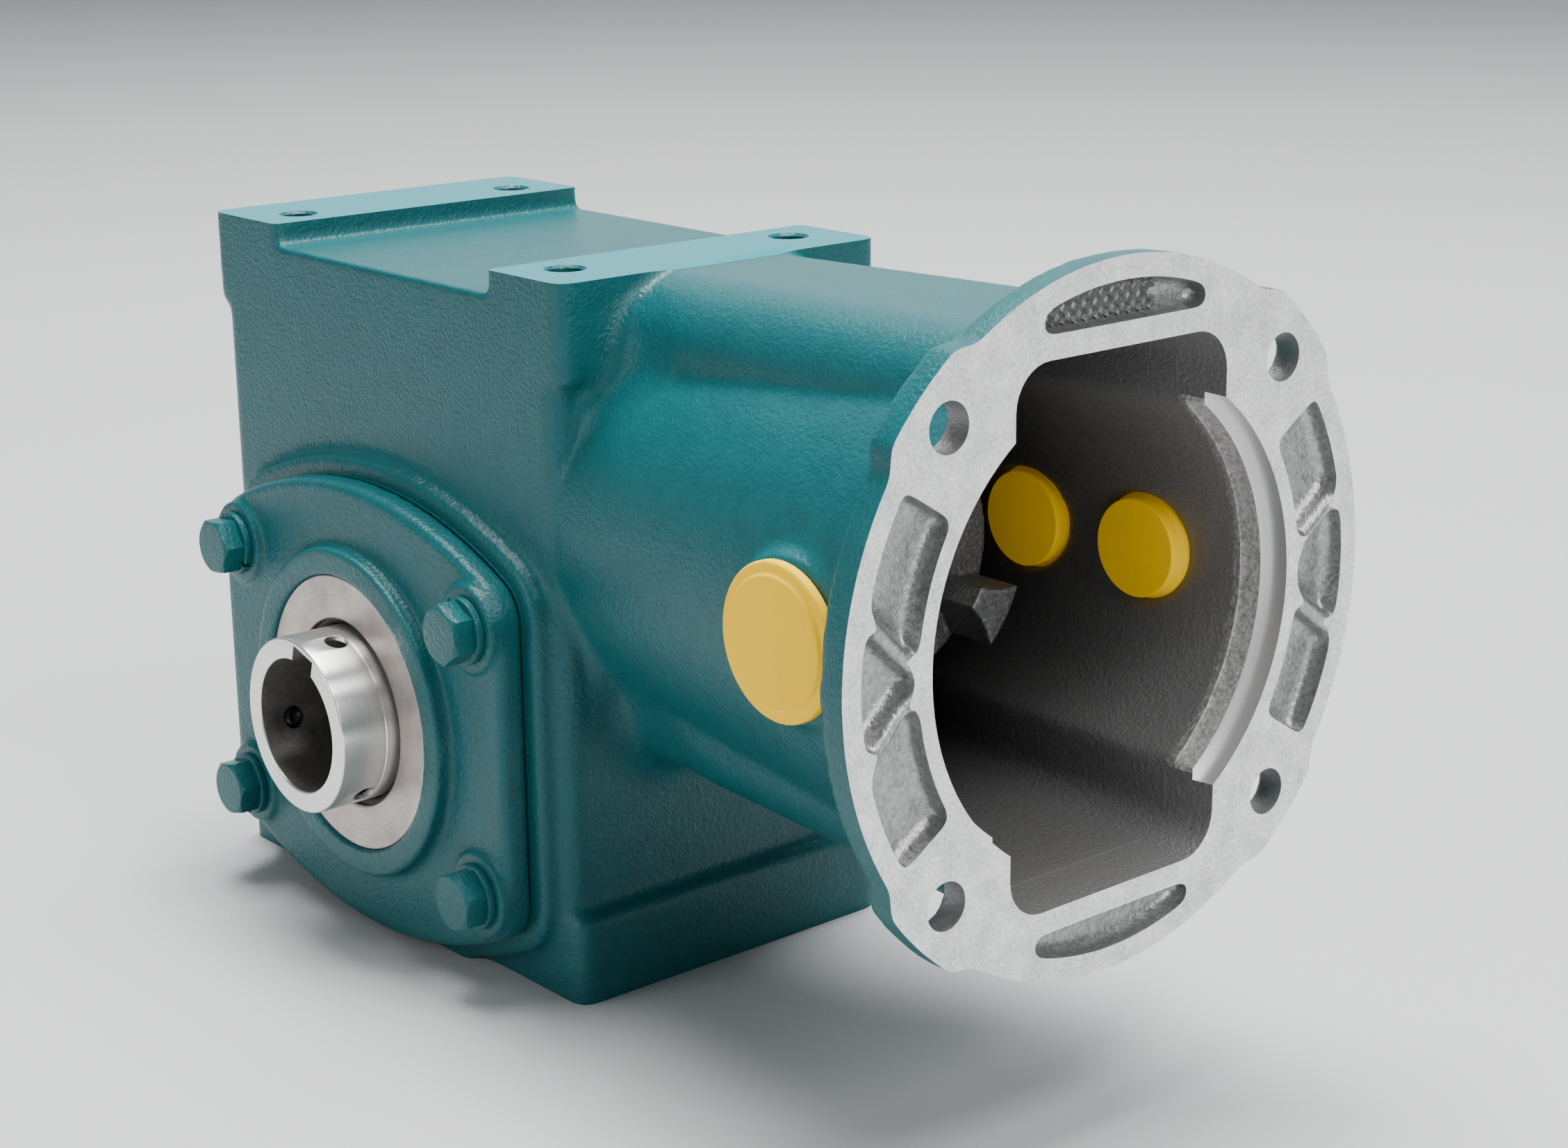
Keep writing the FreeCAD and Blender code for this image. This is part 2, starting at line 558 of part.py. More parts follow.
def bores(body):
    """Bores about the worm axis and the output axis."""
    front = new_sketch(body, "front_bore_section", "XZ_Plane", rise="dims.centre_distance")
    lip = f"({FRONT_BORE} - dims.bearing_stop_height)"
    start = "(dims.front_bearing_at - 2 * dims.bearing_stop)"
    pilot_floor = "(dims.flange_face - dims.pilot_depth)"
    groove_end = f"({FRONT_BEARING_END} + dims.ring_width + dims.ring_gap)"
    groove_floor = f"({FRONT_BORE} + dims.ring_depth)"
    past_flange = "(dims.flange_face + dims.overrun)"
    draw_loop(front, [
        (start, "0"), (past_flange, "0"), (past_flange, "dims.pilot_diameter / 2"),
        (pilot_floor, "dims.pilot_diameter / 2"), (pilot_floor, "dims.shoulder_radius"),
        ("dims.bell_floor", "dims.bell_floor_radius"), ("dims.bell_floor", FRONT_BORE),
        (groove_end, FRONT_BORE), (groove_end, groove_floor),
        (FRONT_BEARING_END, groove_floor), (FRONT_BEARING_END, FRONT_BORE),
        ("dims.front_bearing_at", FRONT_BORE), ("dims.front_bearing_at", lip), (start, lip)])
    turn(body, "Groove", "front_bore", front, "H_Axis")
    rear = new_sketch(body, "rear_bore_section", "XZ_Plane", rise="dims.centre_distance")
    mouth = "-(dims.rear_bearing_at - dims.overrun)"
    relief_end = f"-({REAR_BORE_END} + dims.relief_depth)"
    draw_loop(rear, [
        (relief_end, "0"), (mouth, "0"), (mouth, REAR_BORE), (f"-{REAR_BORE_END}", REAR_BORE),
        (f"-{REAR_BORE_END}", "dims.relief_radius"), (relief_end, "dims.relief_radius")])
    turn(body, "Groove", "rear_bore", rear, "H_Axis")
    output = new_sketch(body, "output_bore_section", "XY_Plane")
    seal_radius = "(dims.seal_outside / 2)"
    inside = "(dims.bearing_face - dims.overrun)"
    past_land = f"-({LAND_FACE} + dims.overrun)"
    draw_loop(output, [
        ("0", past_land), ("dims.opening_radius", past_land),
        ("dims.opening_radius", f"-{inside}"), (BEARING_RADIUS, f"-{inside}"),
        (BEARING_RADIUS, BEARING_BACK), (seal_radius, BEARING_BACK),
        (seal_radius, f"({HUB_FACE} + dims.overrun)"), ("0", f"({HUB_FACE} + dims.overrun)")])
    turn(body, "Groove", "output_bore", output, "V_Axis")
    mouth = new_sketch(body, "lobe_mouth", "YZ_Plane", "dims.flange_face", "dims.centre_distance")
    draw_rounded(mouth, "-dims.lobe_half_width", "dims.lobe_half_width",
                 "-dims.lobe_half_height", "dims.lobe_half_height", "dims.lobe_corner")
    lobes = extrude(body, "Pocket", "lobes", mouth, "dims.flange_face - dims.bell_floor")
    lobes.setExpression("TaperAngle", "-dims.lobe_taper")


def flange_reliefs(body):
    """Bolt holes, relief pockets and the slanting ribs that stand in the side pockets."""
    holes = new_sketch(body, "flange_hole_outlines", "YZ_Plane", "dims.flange_face",
                       "dims.centre_distance")
    for middle in EAR_ANGLES:
        draw_circle(holes, polar("(dims.bolt_circle / 2)", middle), "dims.flange_hole / 2")
    extrude(body, "Pocket", "flange_holes", holes, "dims.flange_thickness + dims.overrun")
    pockets = new_sketch(body, "pocket_outlines", "YZ_Plane", "dims.flange_face",
                         "dims.centre_distance")
    inner = "dims.pocket_inner_radius"
    outer = POCKET_REACH
    spread = "dims.pocket_half_angle"
    for middle in (0, 180):
        points = [polar(inner, f"{middle} - {spread}"), polar(outer, f"{middle} - {spread}"),
                  polar(outer, f"{middle} + {spread}"), polar(inner, f"{middle} + {spread}")]
        draw_loop(pockets, points, {1: outer, 3: f"-{inner}"})
    end = f"sqrt({outer}^2 - dims.crescent_half^2)"
    low = f"({outer} - dims.crescent_depth)"
    half = "dims.crescent_half"
    draw_loop(pockets, [(f"-{half}", low), (half, low), (half, end), (f"-{half}", end)],
              {2: outer})
    draw_loop(pockets, [(half, f"-{low}"), (f"-{half}", f"-{low}"), (f"-{half}", f"-{end}"),
                        (half, f"-{end}")], {2: outer})
    extrude(body, "Pocket", "pockets", pockets, "dims.pocket_depth")
    floor = "dims.flange_face - dims.pocket_depth - dims.rib_bite"
    for name, side in (("first", "-"), ("second", "+")):
        ribs = new_sketch(body, f"{name}_rib_outlines", "YZ_Plane", floor, "dims.centre_distance")
        for middle, inner_angle in ((0, "dims.far_rib_angle"), (180, "dims.near_rib_angle")):
            draw_rib(ribs, middle, side, inner_angle)
        extrude(body, "Pad", f"{name}_ribs", ribs,
                "dims.pocket_depth + dims.rib_bite - dims.rib_drop")


def draw_rib(sketch, middle, side, inner_angle):
    """One slanting rib, as a four-cornered strip that runs a little into both pocket walls."""
    inner_half = "(dims.rib_width / 2 / dims.pocket_inner_radius * 180 / pi)"
    outer_half = f"(dims.rib_width / 2 / {POCKET_REACH} * 180 / pi)"
    inner_radius = "(dims.pocket_inner_radius - dims.rib_bite)"
    outer_radius = f"({POCKET_REACH} + dims.rib_bite)"
    start = f"{middle} {side} {inner_angle}"
    end = f"{middle} {side} dims.rib_outer_angle"
    draw_loop(sketch, [polar(inner_radius, f"{start} - {inner_half}"),
                       polar(outer_radius, f"{end} - {outer_half}"),
                       polar(outer_radius, f"{end} + {outer_half}"),
                       polar(inner_radius, f"{start} + {inner_half}")])


def tapped_holes(body):
    """Mounting holes in the top pads and the holes of the cover bolts."""
    top = new_sketch(body, "top_hole_outlines", "XY_Plane", TOP_PLANE)
    for place in mount_places():
        draw_circle(top, place, "dims.mount_thread / 2")
    extrude(body, "Pocket", "top_holes", top, "dims.mount_depth")
    bolts = new_sketch(body, "cover_hole_outlines", "XZ_Plane", LAND_FACE)
    for place in bolt_places():
        draw_circle(bolts, place, "dims.bolt_diameter / 2 + dims.slide_gap")
    extrude(body, "Pocket", "cover_holes", bolts, "dims.bolt_engagement + dims.overrun")


def plug_places():
    """Access plugs: name, side of the middle plane and X of the centre."""
    outer = "(dims.flange_face - dims.plug_offset)"
    inner = "(dims.flange_face - dims.plug_offset - dims.plug_spacing)"
    return [("near_access_plug", -1, outer), ("far_access_plug_outer", 1, outer),
            ("far_access_plug_inner", 1, inner)]


def plug_seats(body):
    """Bosses, spot faces and holes for the access plugs."""
    for name, side, place in plug_places():
        seat_plane = "dims.plug_seat" if side < 0 else "-dims.plug_seat"
        near = side < 0
        steps = [("Pad", "boss", "dims.plug_seat_radius", "dims.plug_seat - dims.shoulder_radius", near),
                 ("Pocket", "face", "dims.plug_seat_radius", "dims.case_wall", near),
                 ("Pocket", "hole", "dims.plug_hole_radius", "dims.plug_seat / 2", not near)]
        for kind, step, radius, length, back in steps:
            outline = new_sketch(body, f"{name}_{step}_outline", "XZ_Plane", seat_plane,
                                 "dims.centre_distance")
            draw_circle(outline, (place, "0"), radius)
            extrude(body, kind, f"{name}_{step}", outline, length, back=back)


def oil_plug_places():
    """Oil plugs: name, plane of the face, its place, and the centre in that plane."""
    return [("level", "YZ_Plane", "-dims.case_rear", ("0", "dims.level_height")),
            ("drain", "YZ_Plane", "-dims.case_rear", ("0", "dims.drain_height")),
            ("fill", "XZ_Plane", "-dims.case_half_width", ("dims.fill_place", "dims.fill_height"))]


def oil_holes(body):
    """Holes for the oil plugs."""
    for name, plane, face, centre in oil_plug_places():
        hole = new_sketch(body, f"{name}_hole_outline", plane, face)
        draw_circle(hole, centre, "dims.oil_plug_radius")
        extrude(body, "Pocket", f"{name}_hole", hole,
                f"{SIDE_WALL} + dims.overrun", back=True)


def make_housing():
    """Case, bell and motor flange in one casting."""
    body = new_body("housing")
    bell_hump(body)
    case_block(body)
    bell_bulge(body)
    flange_plate(body)
    output_lands(body)
    pad_recess(body)
    oil_space(body)
    plug_seats(body)
    bores(body)
    flange_reliefs(body)
    tapped_holes(body)
    oil_holes(body)
    return body


def make_output_cover():
    """Near side cover with the bearing seat, spigot, seal ring and bolt bosses."""
    body = new_body("output_cover")
    plate = new_sketch(body, "plate_outline", "XZ_Plane", COVER_BACK)
    cover_outline(plate, "0")
    extrude(body, "Pad", "plate", plate, "dims.cover_thickness")
    soften(body, "Chamfer", "plate_rim", "dims.cover_edge", cover_rim)
    ring = new_sketch(body, "ring_outline", "XZ_Plane", COVER_BACK)
    draw_circle(ring, ("0", "0"), "dims.hub_ring_radius")
    extrude(body, "Pad", "ring", ring, "dims.cover_thickness + dims.hub_ring_height")
    bosses = new_sketch(body, "boss_outlines", "XZ_Plane", COVER_BACK)
    for place in bolt_places():
        draw_circle(bosses, place, "dims.boss_radius")
    extrude(body, "Pad", "bosses", bosses, "dims.cover_thickness + dims.boss_height")
    spigot = new_sketch(body, "spigot_outline", "XZ_Plane", COVER_BACK)
    draw_circle(spigot, ("0", "0"), "dims.opening_radius - dims.slide_gap")
    extrude(body, "Pad", "spigot", spigot, f"{COVER_BACK} - dims.bearing_face", back=True)
    bore = new_sketch(body, "bore_section", "XY_Plane")
    seal_radius = "(dims.seal_outside / 2)"
    inside = "(dims.bearing_face - dims.overrun)"
    draw_loop(bore, [
        ("0", f"-({HUB_FACE} + dims.overrun)"), (seal_radius, f"-({HUB_FACE} + dims.overrun)"),
        (seal_radius, f"-{BEARING_BACK}"), (BEARING_RADIUS, f"-{BEARING_BACK}"),
        (BEARING_RADIUS, f"-{inside}"), ("0", f"-{inside}")])
    turn(body, "Groove", "bore", bore, "V_Axis")
    holes = new_sketch(body, "hole_outlines", "XZ_Plane", BOSS_FACE)
    for place in bolt_places():
        draw_circle(holes, place, "dims.bolt_diameter / 2 + dims.bolt_play")
    extrude(body, "Pocket", "holes", holes, f"{BOSS_FACE} - {COVER_BACK} + dims.overrun")
    return body


def cover_rim(edge):
    """Outer rim of the cover's face."""
    face = -value(COVER_FACE)
    return all(abs(vertex.Y - face) < PLACE_TOLERANCE for vertex in edge.Vertexes)


def make_cover_gasket():
    """Gasket between land and cover."""
    body = new_body("cover_gasket")
    outline = new_sketch(body, "gasket_outline", "XZ_Plane", LAND_FACE)
    cover_outline(outline, "0")
    extrude(body, "Pad", "gasket", outline, "dims.gasket_thickness")
    holes = new_sketch(body, "gasket_holes", "XZ_Plane", COVER_BACK)
    draw_circle(holes, ("0", "0"), "dims.opening_radius")
    for place in bolt_places():
        draw_circle(holes, place, "dims.bolt_diameter / 2 + dims.bolt_play")
    extrude(body, "Pocket", "gasket_cuts", holes, "dims.gasket_thickness + dims.overrun")
    return body


def make_cover_bolts():
    """Four hexagon head bolts, each as it came to rest."""
    body = new_body("cover_bolts", several=True)
    heads = new_sketch(body, "head_outlines", "XZ_Plane", BOSS_FACE)
    shanks = new_sketch(body, "shank_outlines", "XZ_Plane", BOSS_FACE)
    for place, turned in zip(bolt_places(), BOLT_TURNS):
        draw_hexagon(heads, place, "dims.bolt_flats", turned)
        draw_circle(shanks, place, "dims.bolt_diameter / 2")
    extrude(body, "Pad", "heads", heads, "dims.bolt_head")
    extrude(body, "Pad", "shanks", shanks, f"{BOSS_FACE} - {LAND_FACE} + dims.bolt_engagement",
            back=True)
    return body


def make_output_ring(side, label, clear_radius, outer_radius, start, end):
    """Ring in the case or the cover that the output shaft runs through."""
    body = new_body(f"{side}_{label}")
    ends = (f"-{end}", f"-{start}") if side == "near" else (start, end)
    add_ring(body, f"{side}_{label}_ring", "XY_Plane", f"{clear_radius} + dims.seal_lip_gap",
             outer_radius, *ends)
    return body


def make_output_bearing(side):
    """Sealed bearing of the output shaft."""
    return make_output_ring(side, "output_bearing", SHAFT_SEAT, BEARING_RADIUS,
                            "dims.bearing_face", BEARING_BACK)


def make_output_seal(side):
    """Oil seal of the output shaft, flush with the hub."""
    return make_output_ring(side, "output_seal", "dims.shaft_end_radius",
                            "(dims.seal_outside / 2)", BEARING_BACK,
                            f"({BEARING_BACK} + dims.seal_width)")


def make_output_shaft():
    """Hollow output shaft with a keyway through its bore and set screw holes at both ends."""
    body = new_body("output_shaft")
    end = "dims.shaft_half_length"
    bore = "(dims.shaft_bore / 2)"
    ring = "dims.shaft_end_radius"
    section = new_sketch(body, "shaft_section", "XY_Plane")
    draw_loop(section, [
        (bore, f"-{end}"), (ring, f"-{end}"), (ring, f"-{BEARING_BACK}"),
        (SHAFT_SEAT, f"-{BEARING_BACK}"), (SHAFT_SEAT, "dims.collar_start"),
        ("dims.collar_radius", "dims.collar_start"), ("dims.collar_radius", "dims.bearing_face"),
        (SHAFT_SEAT, "dims.bearing_face"), (SHAFT_SEAT, BEARING_BACK), (ring, BEARING_BACK),
        (ring, end), (bore, end)])
    turn(body, "Revolution", "shaft_turned", section, "V_Axis")
    keyway = new_sketch(body, "keyway_outline", "XZ_Plane")
    half = "(dims.keyway_width / 2)"
    draw_loop(keyway, [(f"-{half}", "0"), (half, "0"), (half, "dims.keyway_reach"),
                       (f"-{half}", "dims.keyway_reach")])
    extrude(body, "Pocket", "keyway", keyway, THROUGH, both=True)
    for name, sign in (("near", "-"), ("far", "")):
        hole = new_sketch(body, f"{name}_screw_outline", "XY_Plane")
        draw_circle(hole, ("0", f"{sign}({end} - dims.screw_inset)"), "dims.screw_radius")
        cut_hole = extrude(body, "Pocket", f"{name}_screw_hole", hole, "dims.collar_radius", back=True)
        pattern(body, f"{name}_screw_holes", cut_hole, "Y_Axis", "dims.screw_count")
    key_seat(body, "key_seat", "Pocket", "dims.wheel_key_depth * 2", False)
    return body


def key_seat(body, name, kind, depth, back):
    """Key, or the seat for it in the shaft, opposite the bore's keyway."""
    floor = f"-({SHAFT_SEAT} - dims.wheel_key_depth)"
    outline = new_sketch(body, f"{name}_outline", "XY_Plane", floor)
    box_loop(outline, ("0", "0"), "(dims.wheel_key_width / 2)", "dims.wheel_key_half")
    extrude(body, kind, name, outline, depth, back=back)


def make_wheel_key():
    """Key between output shaft and wheel."""
    body = new_body("wheel_key")
    key_seat(body, "key", "Pad", "2 * dims.wheel_key_depth", True)
    return body


def make_wheel_blank():
    """Bronze wheel before its teeth are cut, with the throat that wraps the worm."""
    body = new_body("wheel_blank")
    throat = f"({WORM_ROOT_RADIUS} + dims.tip_clearance)"
    meet = f"sqrt({throat}^2 - (dims.centre_distance - dims.wheel_radius)^2)"
    half = "(dims.wheel_width / 2)"
    seat = f"({SHAFT_SEAT} + dims.slide_gap)"
    hub = "dims.wheel_hub_radius"
    section = new_sketch(body, "wheel_section", "XY_Plane")
    bevel = polar(throat, 90 - THROAT_BEVEL)
    throat_half = bevel[0]
    throat_radius = f"(dims.centre_distance - ({bevel[1]}))"
    draw_loop(section, [
        (seat, "-dims.bearing_face"), (hub, "-dims.bearing_face"), (hub, f"-{half}"),
        ("dims.wheel_radius", f"-{half}"), ("dims.wheel_radius", f"-{meet}"),
        (throat_radius, f"-({throat_half})"), (throat_radius, throat_half),
        ("dims.wheel_radius", meet), ("dims.wheel_radius", half), (hub, half),
        (hub, "dims.collar_start"), (seat, "dims.collar_start")])
    turn(body, "Revolution", "wheel_turned", section, "V_Axis")
    slot = new_sketch(body, "wheel_key_outline", "XZ_Plane")
    reach = f"({SHAFT_SEAT} + dims.wheel_key_depth)"
    key_half = "(dims.wheel_key_width / 2)"
    draw_loop(slot, [(f"-{key_half}", f"-{reach}"), (key_half, f"-{reach}"), (key_half, "0"),
                     (f"-{key_half}", "0")])
    extrude(body, "Pocket", "wheel_key_way", slot, THROUGH, both=True)
    return turn_to_keyway(body)


def gap_flank():
    """Right flank of a tooth gap in the wheel's middle plane, from the tip circle down.

    The worm's section in that plane is a rack that rolls on the wheel's pitch circle. Each
    point of the rack's flank touches the wheel where its normal meets the pitch point.
    """
    distance = value("dims.centre_distance")
    wheel_radius = value(WHEEL_PITCH_RADIUS)
    slope = value("tan(dims.pressure_angle * 1 deg)")
    half_gap = value(f"{PITCH} / 4 + dims.flank_play")
    start = distance - value("dims.wheel_radius") - GAP_OVERRUN
    end = value(WORM_TIP_RADIUS)
    points = []
    for step in range(FLANK_STEPS + 1):
        depth = start + (end - start) * step / FLANK_STEPS
        place = half_gap - (depth - value(WORM_PITCH_RADIUS)) * slope
        height = distance - depth
        roll = (wheel_radius - height) / slope - place
        angle = roll / wheel_radius
        shifted = place + roll
        points.append((shifted * math.cos(angle) - height * math.sin(angle),
                       shifted * math.sin(angle) + height * math.cos(angle)))
    return points


def gap_face():
    """Closed outline of one tooth gap at the wheel's near face, along the worm's lead."""
    flank = gap_flank()
    clearance = value("dims.tip_clearance")
    floor = value("dims.centre_distance") - value(WORM_TIP_RADIUS) - clearance
    flank.append((flank[-1][0] - clearance / 2, floor))
    half_width = value("dims.wheel_width") / 2 + GAP_OVERRUN
    shift = half_width * value(LEAD_SLOPE)
    left = [V(-x - shift, -half_width, z) for x, z in flank]
    right = [V(x - shift, -half_width, z) for x, z in reversed(flank)]
    return Part.Face(Part.makePolygon(left + right + left[:1]))


def make_worm_wheel():
    """Bronze wheel whose tooth gaps run straight across it at the worm's lead angle."""
    blank = make_wheel_blank()
    length = value("dims.wheel_width") + 2 * GAP_OVERRUN
    gap = gap_face().extrude(V(length * value(LEAD_SLOPE), length, 0))
    teeth = int(value("dims.wheel_teeth"))
    copies = []
    for number in range(teeth):
        copy = gap.copy()
        copy.rotate(V(0, 0, 0), V(0, 1, 0), 360 * number / teeth)
        copies.append(copy)
    gaps = doc.addObject("Part::Feature", "tooth_gaps")
    gaps.Shape = Part.makeCompound(copies)
    wheel = doc.addObject("Part::Cut", "worm_wheel")
    wheel.Label = "worm_wheel"
    wheel.Base = blank
    wheel.Tool = gaps
    return wheel


def make_worm_shaft():
    """Worm in one piece with its shaft."""
    body = new_body("worm_shaft")
    shoulder = "dims.bearing_shoulder"
    front_seat = "(dims.front_bearing_bore / 2)"
    rear_seat = "(dims.rear_bearing_bore / 2)"
    front_stop = f"(dims.front_bearing_at - {shoulder})"
    rear_stop = f"-(dims.rear_bearing_at - {shoulder})"
    rear_end = f"-{REAR_BORE_END}"
    section = new_sketch(body, "worm_section", "XZ_Plane")
    draw_loop(section, [
        (rear_end, "0"), ("dims.coupling_face", "0"), ("dims.coupling_face", "dims.worm_end_radius"),
        ("dims.journal_end", "dims.worm_end_radius"), ("dims.journal_end", front_seat),
        ("dims.front_bearing_at", front_seat),
        ("dims.front_bearing_at", f"({front_seat} + {shoulder})"),
        (front_stop, f"({front_seat} + {shoulder})"), (front_stop, WORM_ROOT_RADIUS),
        (rear_stop, WORM_ROOT_RADIUS), (rear_stop, f"({rear_seat} + {shoulder})"),
        ("-dims.rear_bearing_at", f"({rear_seat} + {shoulder})"), ("-dims.rear_bearing_at", rear_seat),
        (rear_end, rear_seat)])
    turn(body, "Revolution", "worm_turned", section, "H_Axis")
    flank = "tan(dims.pressure_angle * 1 deg)"
    start = f"(-dims.thread_turns / 2 * {PITCH})"
    foot_radius = f"({WORM_ROOT_RADIUS} - dims.thread_bite)"
    foot = f"({PITCH} / 4 + ({WORM_PITCH_RADIUS} - {foot_radius}) * {flank})"
    crest = f"({PITCH} / 4 - dims.gear_module * {flank})"
    profile = new_sketch(body, "thread_profile", "XZ_Plane")
    draw_loop(profile, [
        (f"{start} - {crest}", f"-{WORM_TIP_RADIUS}"), (f"{start} + {crest}", f"-{WORM_TIP_RADIUS}"),
        (f"{start} + {foot}", f"-{foot_radius}"), (f"{start} - {foot}", f"-{foot_radius}")])
    thread = body.newObject("PartDesign::AdditiveHelix", "thread")
    thread.Profile = profile
    thread.ReferenceAxis = (profile, ["H_Axis"])
    thread.Mode = "pitch-height-angle"
    thread.setExpression("Pitch", PITCH)
    thread.setExpression("Height", f"dims.thread_turns * {PITCH}")
    thread.Angle = 0
    coupling_key(body, "worm_key_seat", "Pocket", True)
    return raise_to_worm(body)


def coupling_key(body, name, kind, back):
    """Coupling key, or the seat for it in the worm shaft."""
    outline = new_sketch(body, f"{name}_outline", "XY_Plane",
                         "(dims.worm_end_radius - dims.coupling_key_depth)")
    centre = ("(dims.coupling_face - dims.coupling_key_length / 2)", "0")
    box_loop(outline, centre, "(dims.coupling_key_length / 2)", "(dims.coupling_key_width / 2)")
    extrude(body, kind, name, outline, "2 * dims.coupling_key_depth", back=back)


def make_coupling_key():
    """Key between worm shaft and coupling half."""
    body = new_body("coupling_key")
    coupling_key(body, "coupling_key_bar", "Pad", False)
    return raise_to_worm(body)


def make_worm_bearing(side):
    """Sealed bearing of the worm shaft."""
    body = new_body(f"{side}_worm_bearing")
    ends = ("dims.front_bearing_at", FRONT_BEARING_END)
    if side == "rear":
        ends = (f"-{REAR_BORE_END}", "-dims.rear_bearing_at")
    add_ring(body, f"{side}_bearing_ring", "XZ_Plane",
             f"dims.{side}_bearing_bore / 2 + dims.seal_lip_gap",
             f"(dims.{side}_bearing_outside / 2)", *ends)
    return raise_to_worm(body)


def make_retaining_ring():
    """Retaining ring that holds the front bearing, with the gap that lets it spring."""
    body = new_body("front_retaining_ring")
    inside = f"({FRONT_BORE} - dims.ring_reach)"
    outside = f"({FRONT_BORE} + dims.ring_depth - dims.ring_gap)"
    end = f"({FRONT_BEARING_END} + dims.ring_width)"
    add_ring(body, "ring_blank", "XZ_Plane", inside, outside, FRONT_BEARING_END, end)
    gap = new_sketch(body, "ring_gap_outline", "YZ_Plane", f"{end} + dims.overrun")
    half = "(dims.ring_reach * 2)"
    low = f"-({outside} + dims.overrun)"
    draw_loop(gap, [(f"-{half}", low), (half, low), (half, "0"), (f"-{half}", "0")])
    extrude(body, "Pocket", "ring_gap_cut", gap, "dims.ring_width + 2 * dims.overrun")
    return raise_to_worm(body)


def make_input_seal():
    """Oil seal on the worm shaft, in the floor of the bell."""
    body = new_body("input_seal")
    add_ring(body, "input_seal_ring", "XZ_Plane", "dims.front_bearing_bore / 2 + dims.seal_lip_gap",
             FRONT_BORE, "dims.input_seal_at", "(dims.input_seal_at + dims.input_seal_width)")
    return raise_to_worm(body)


def make_coupling_hub():
    """Coupling half with three jaws."""
    body = new_body("coupling_hub")
    back = "(dims.coupling_face - dims.coupling_length)"
    add_ring(body, "coupling_body", "XZ_Plane", "dims.worm_end_radius + dims.slide_gap",
             "dims.coupling_radius", back, "dims.coupling_face")
    jaws = new_sketch(body, "jaw_outlines", "YZ_Plane", "dims.coupling_face")
    outer = "dims.jaw_outer_radius"
    inner = "dims.jaw_inner_radius"
    for number in range(JAW_COUNT):
        middle = f"dims.jaw_turn + {number} * 360 / {JAW_COUNT}"
        points = [polar(inner, f"{middle} - dims.jaw_inner_angle"),
                  polar(outer, f"{middle} - dims.jaw_outer_angle"),
                  polar(outer, f"{middle} + dims.jaw_outer_angle"),
                  polar(inner, f"{middle} + dims.jaw_inner_angle")]
        draw_loop(jaws, points, {0: "-dims.jaw_flank", 1: outer, 2: "-dims.jaw_flank",
                                 3: f"-{inner}"})
    extrude(body, "Pad", "jaws", jaws, "dims.jaw_length")
    keyway = new_sketch(body, "coupling_key_outline", "YZ_Plane", back)
    half = "(dims.coupling_key_width / 2)"
    reach = "(dims.worm_end_radius + dims.coupling_key_depth)"
    draw_loop(keyway, [(f"-{half}", "0"), (half, "0"), (half, reach), (f"-{half}", reach)])
    extrude(body, "Pocket", "coupling_key_way", keyway, "dims.coupling_length + dims.overrun",
            back=True)
    return raise_to_worm(body)


def make_access_plug(name, side, place):
    """Push-in plug in the side of the bell."""
    body = new_body(name)
    near = side < 0
    seat_plane = "dims.plug_seat" if near else "-dims.plug_seat"
    steps = [("rim", "dims.plug_radius", "dims.plug_rim", not near),
             ("shank", "dims.plug_hole_radius - dims.slide_gap", "dims.plug_shank", near)]
    for step, radius, length, back in steps:
        outline = new_sketch(body, f"{name}_{step}_outline", "XZ_Plane", seat_plane)
        draw_circle(outline, ("0", "0"), radius)
        extrude(body, "Pad", f"{name}_{step}", outline, length, back=back)
    body.setExpression(".Placement.Base.x", place)
    return raise_to_worm(body)


def make_oil_plug(name, plane, face, centre):
    """Oil plug with a hexagon socket."""
    body = new_body(f"oil_{name}_plug")
    outline = new_sketch(body, f"{name}_plug_outline", plane, face)
    draw_circle(outline, centre, "dims.oil_plug_radius")
    extrude(body, "Pad", f"{name}_plug", outline, "dims.oil_plug_length")
    socket = new_sketch(body, f"{name}_socket_outline", plane, face)
    draw_hexagon(socket, centre, "dims.oil_plug_socket", 0)
    extrude(body, "Pocket", f"{name}_socket", socket, "dims.oil_plug_socket_depth", back=True)
    return body


def turn_to_keyway(body):
    """Sets a piece of the output shaft to the angle at which the keyway stands at rest."""
    body.Placement = FreeCAD.Placement(V(0, 0, 0), FreeCAD.Rotation(V(0, 1, 0), 1))
    body.setExpression(".Placement.Rotation.Angle", "dims.keyway_angle")
    return body


def make_parts():
    """Every sub-part of the reducer, in order from the case inwards."""
    parts = [make_housing(), make_output_cover(), make_cover_gasket(), make_cover_bolts()]
    for side in ("near", "far"):
        parts += [make_output_bearing(side), make_output_seal(side)]
    parts += [turn_to_keyway(make_output_shaft()), turn_to_keyway(make_wheel_key())]
    parts += [make_worm_wheel(), make_worm_shaft()]
    parts += [make_worm_bearing(side) for side in ("front", "rear")]
    parts += [make_retaining_ring(), make_input_seal(), make_coupling_hub(), make_coupling_key()]
    parts += [make_access_plug(*place) for place in plug_places()]
    parts += [make_oil_plug(*place) for place in oil_plug_places()]
    return parts


def check_and_export(parts):
    """Stops on a failed object or a bad solid, then writes one file for each sub-part."""
    doc.recompute()
    for item in doc.Objects:
        if "Invalid" in item.State or "Error" in item.State:
            raise RuntimeError(f"{item.Name} failed: {item.State}")
    for part in parts:
        if part.Shape.isNull() or not part.Shape.isValid() or not part.Shape.Solids:
            raise RuntimeError(f"{part.Label} has no valid solid")
    os.makedirs("parts", exist_ok=True)
    for part in parts:
        part.Shape.exportStep(f"parts/{part.Label}.step")
        print(part.Label, len(part.Shape.Solids), round(part.Shape.Volume, 1))


check_and_export(make_parts())
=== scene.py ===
import math

import bmesh
import bpy
import numpy as np
from mathutils import Matrix, Vector


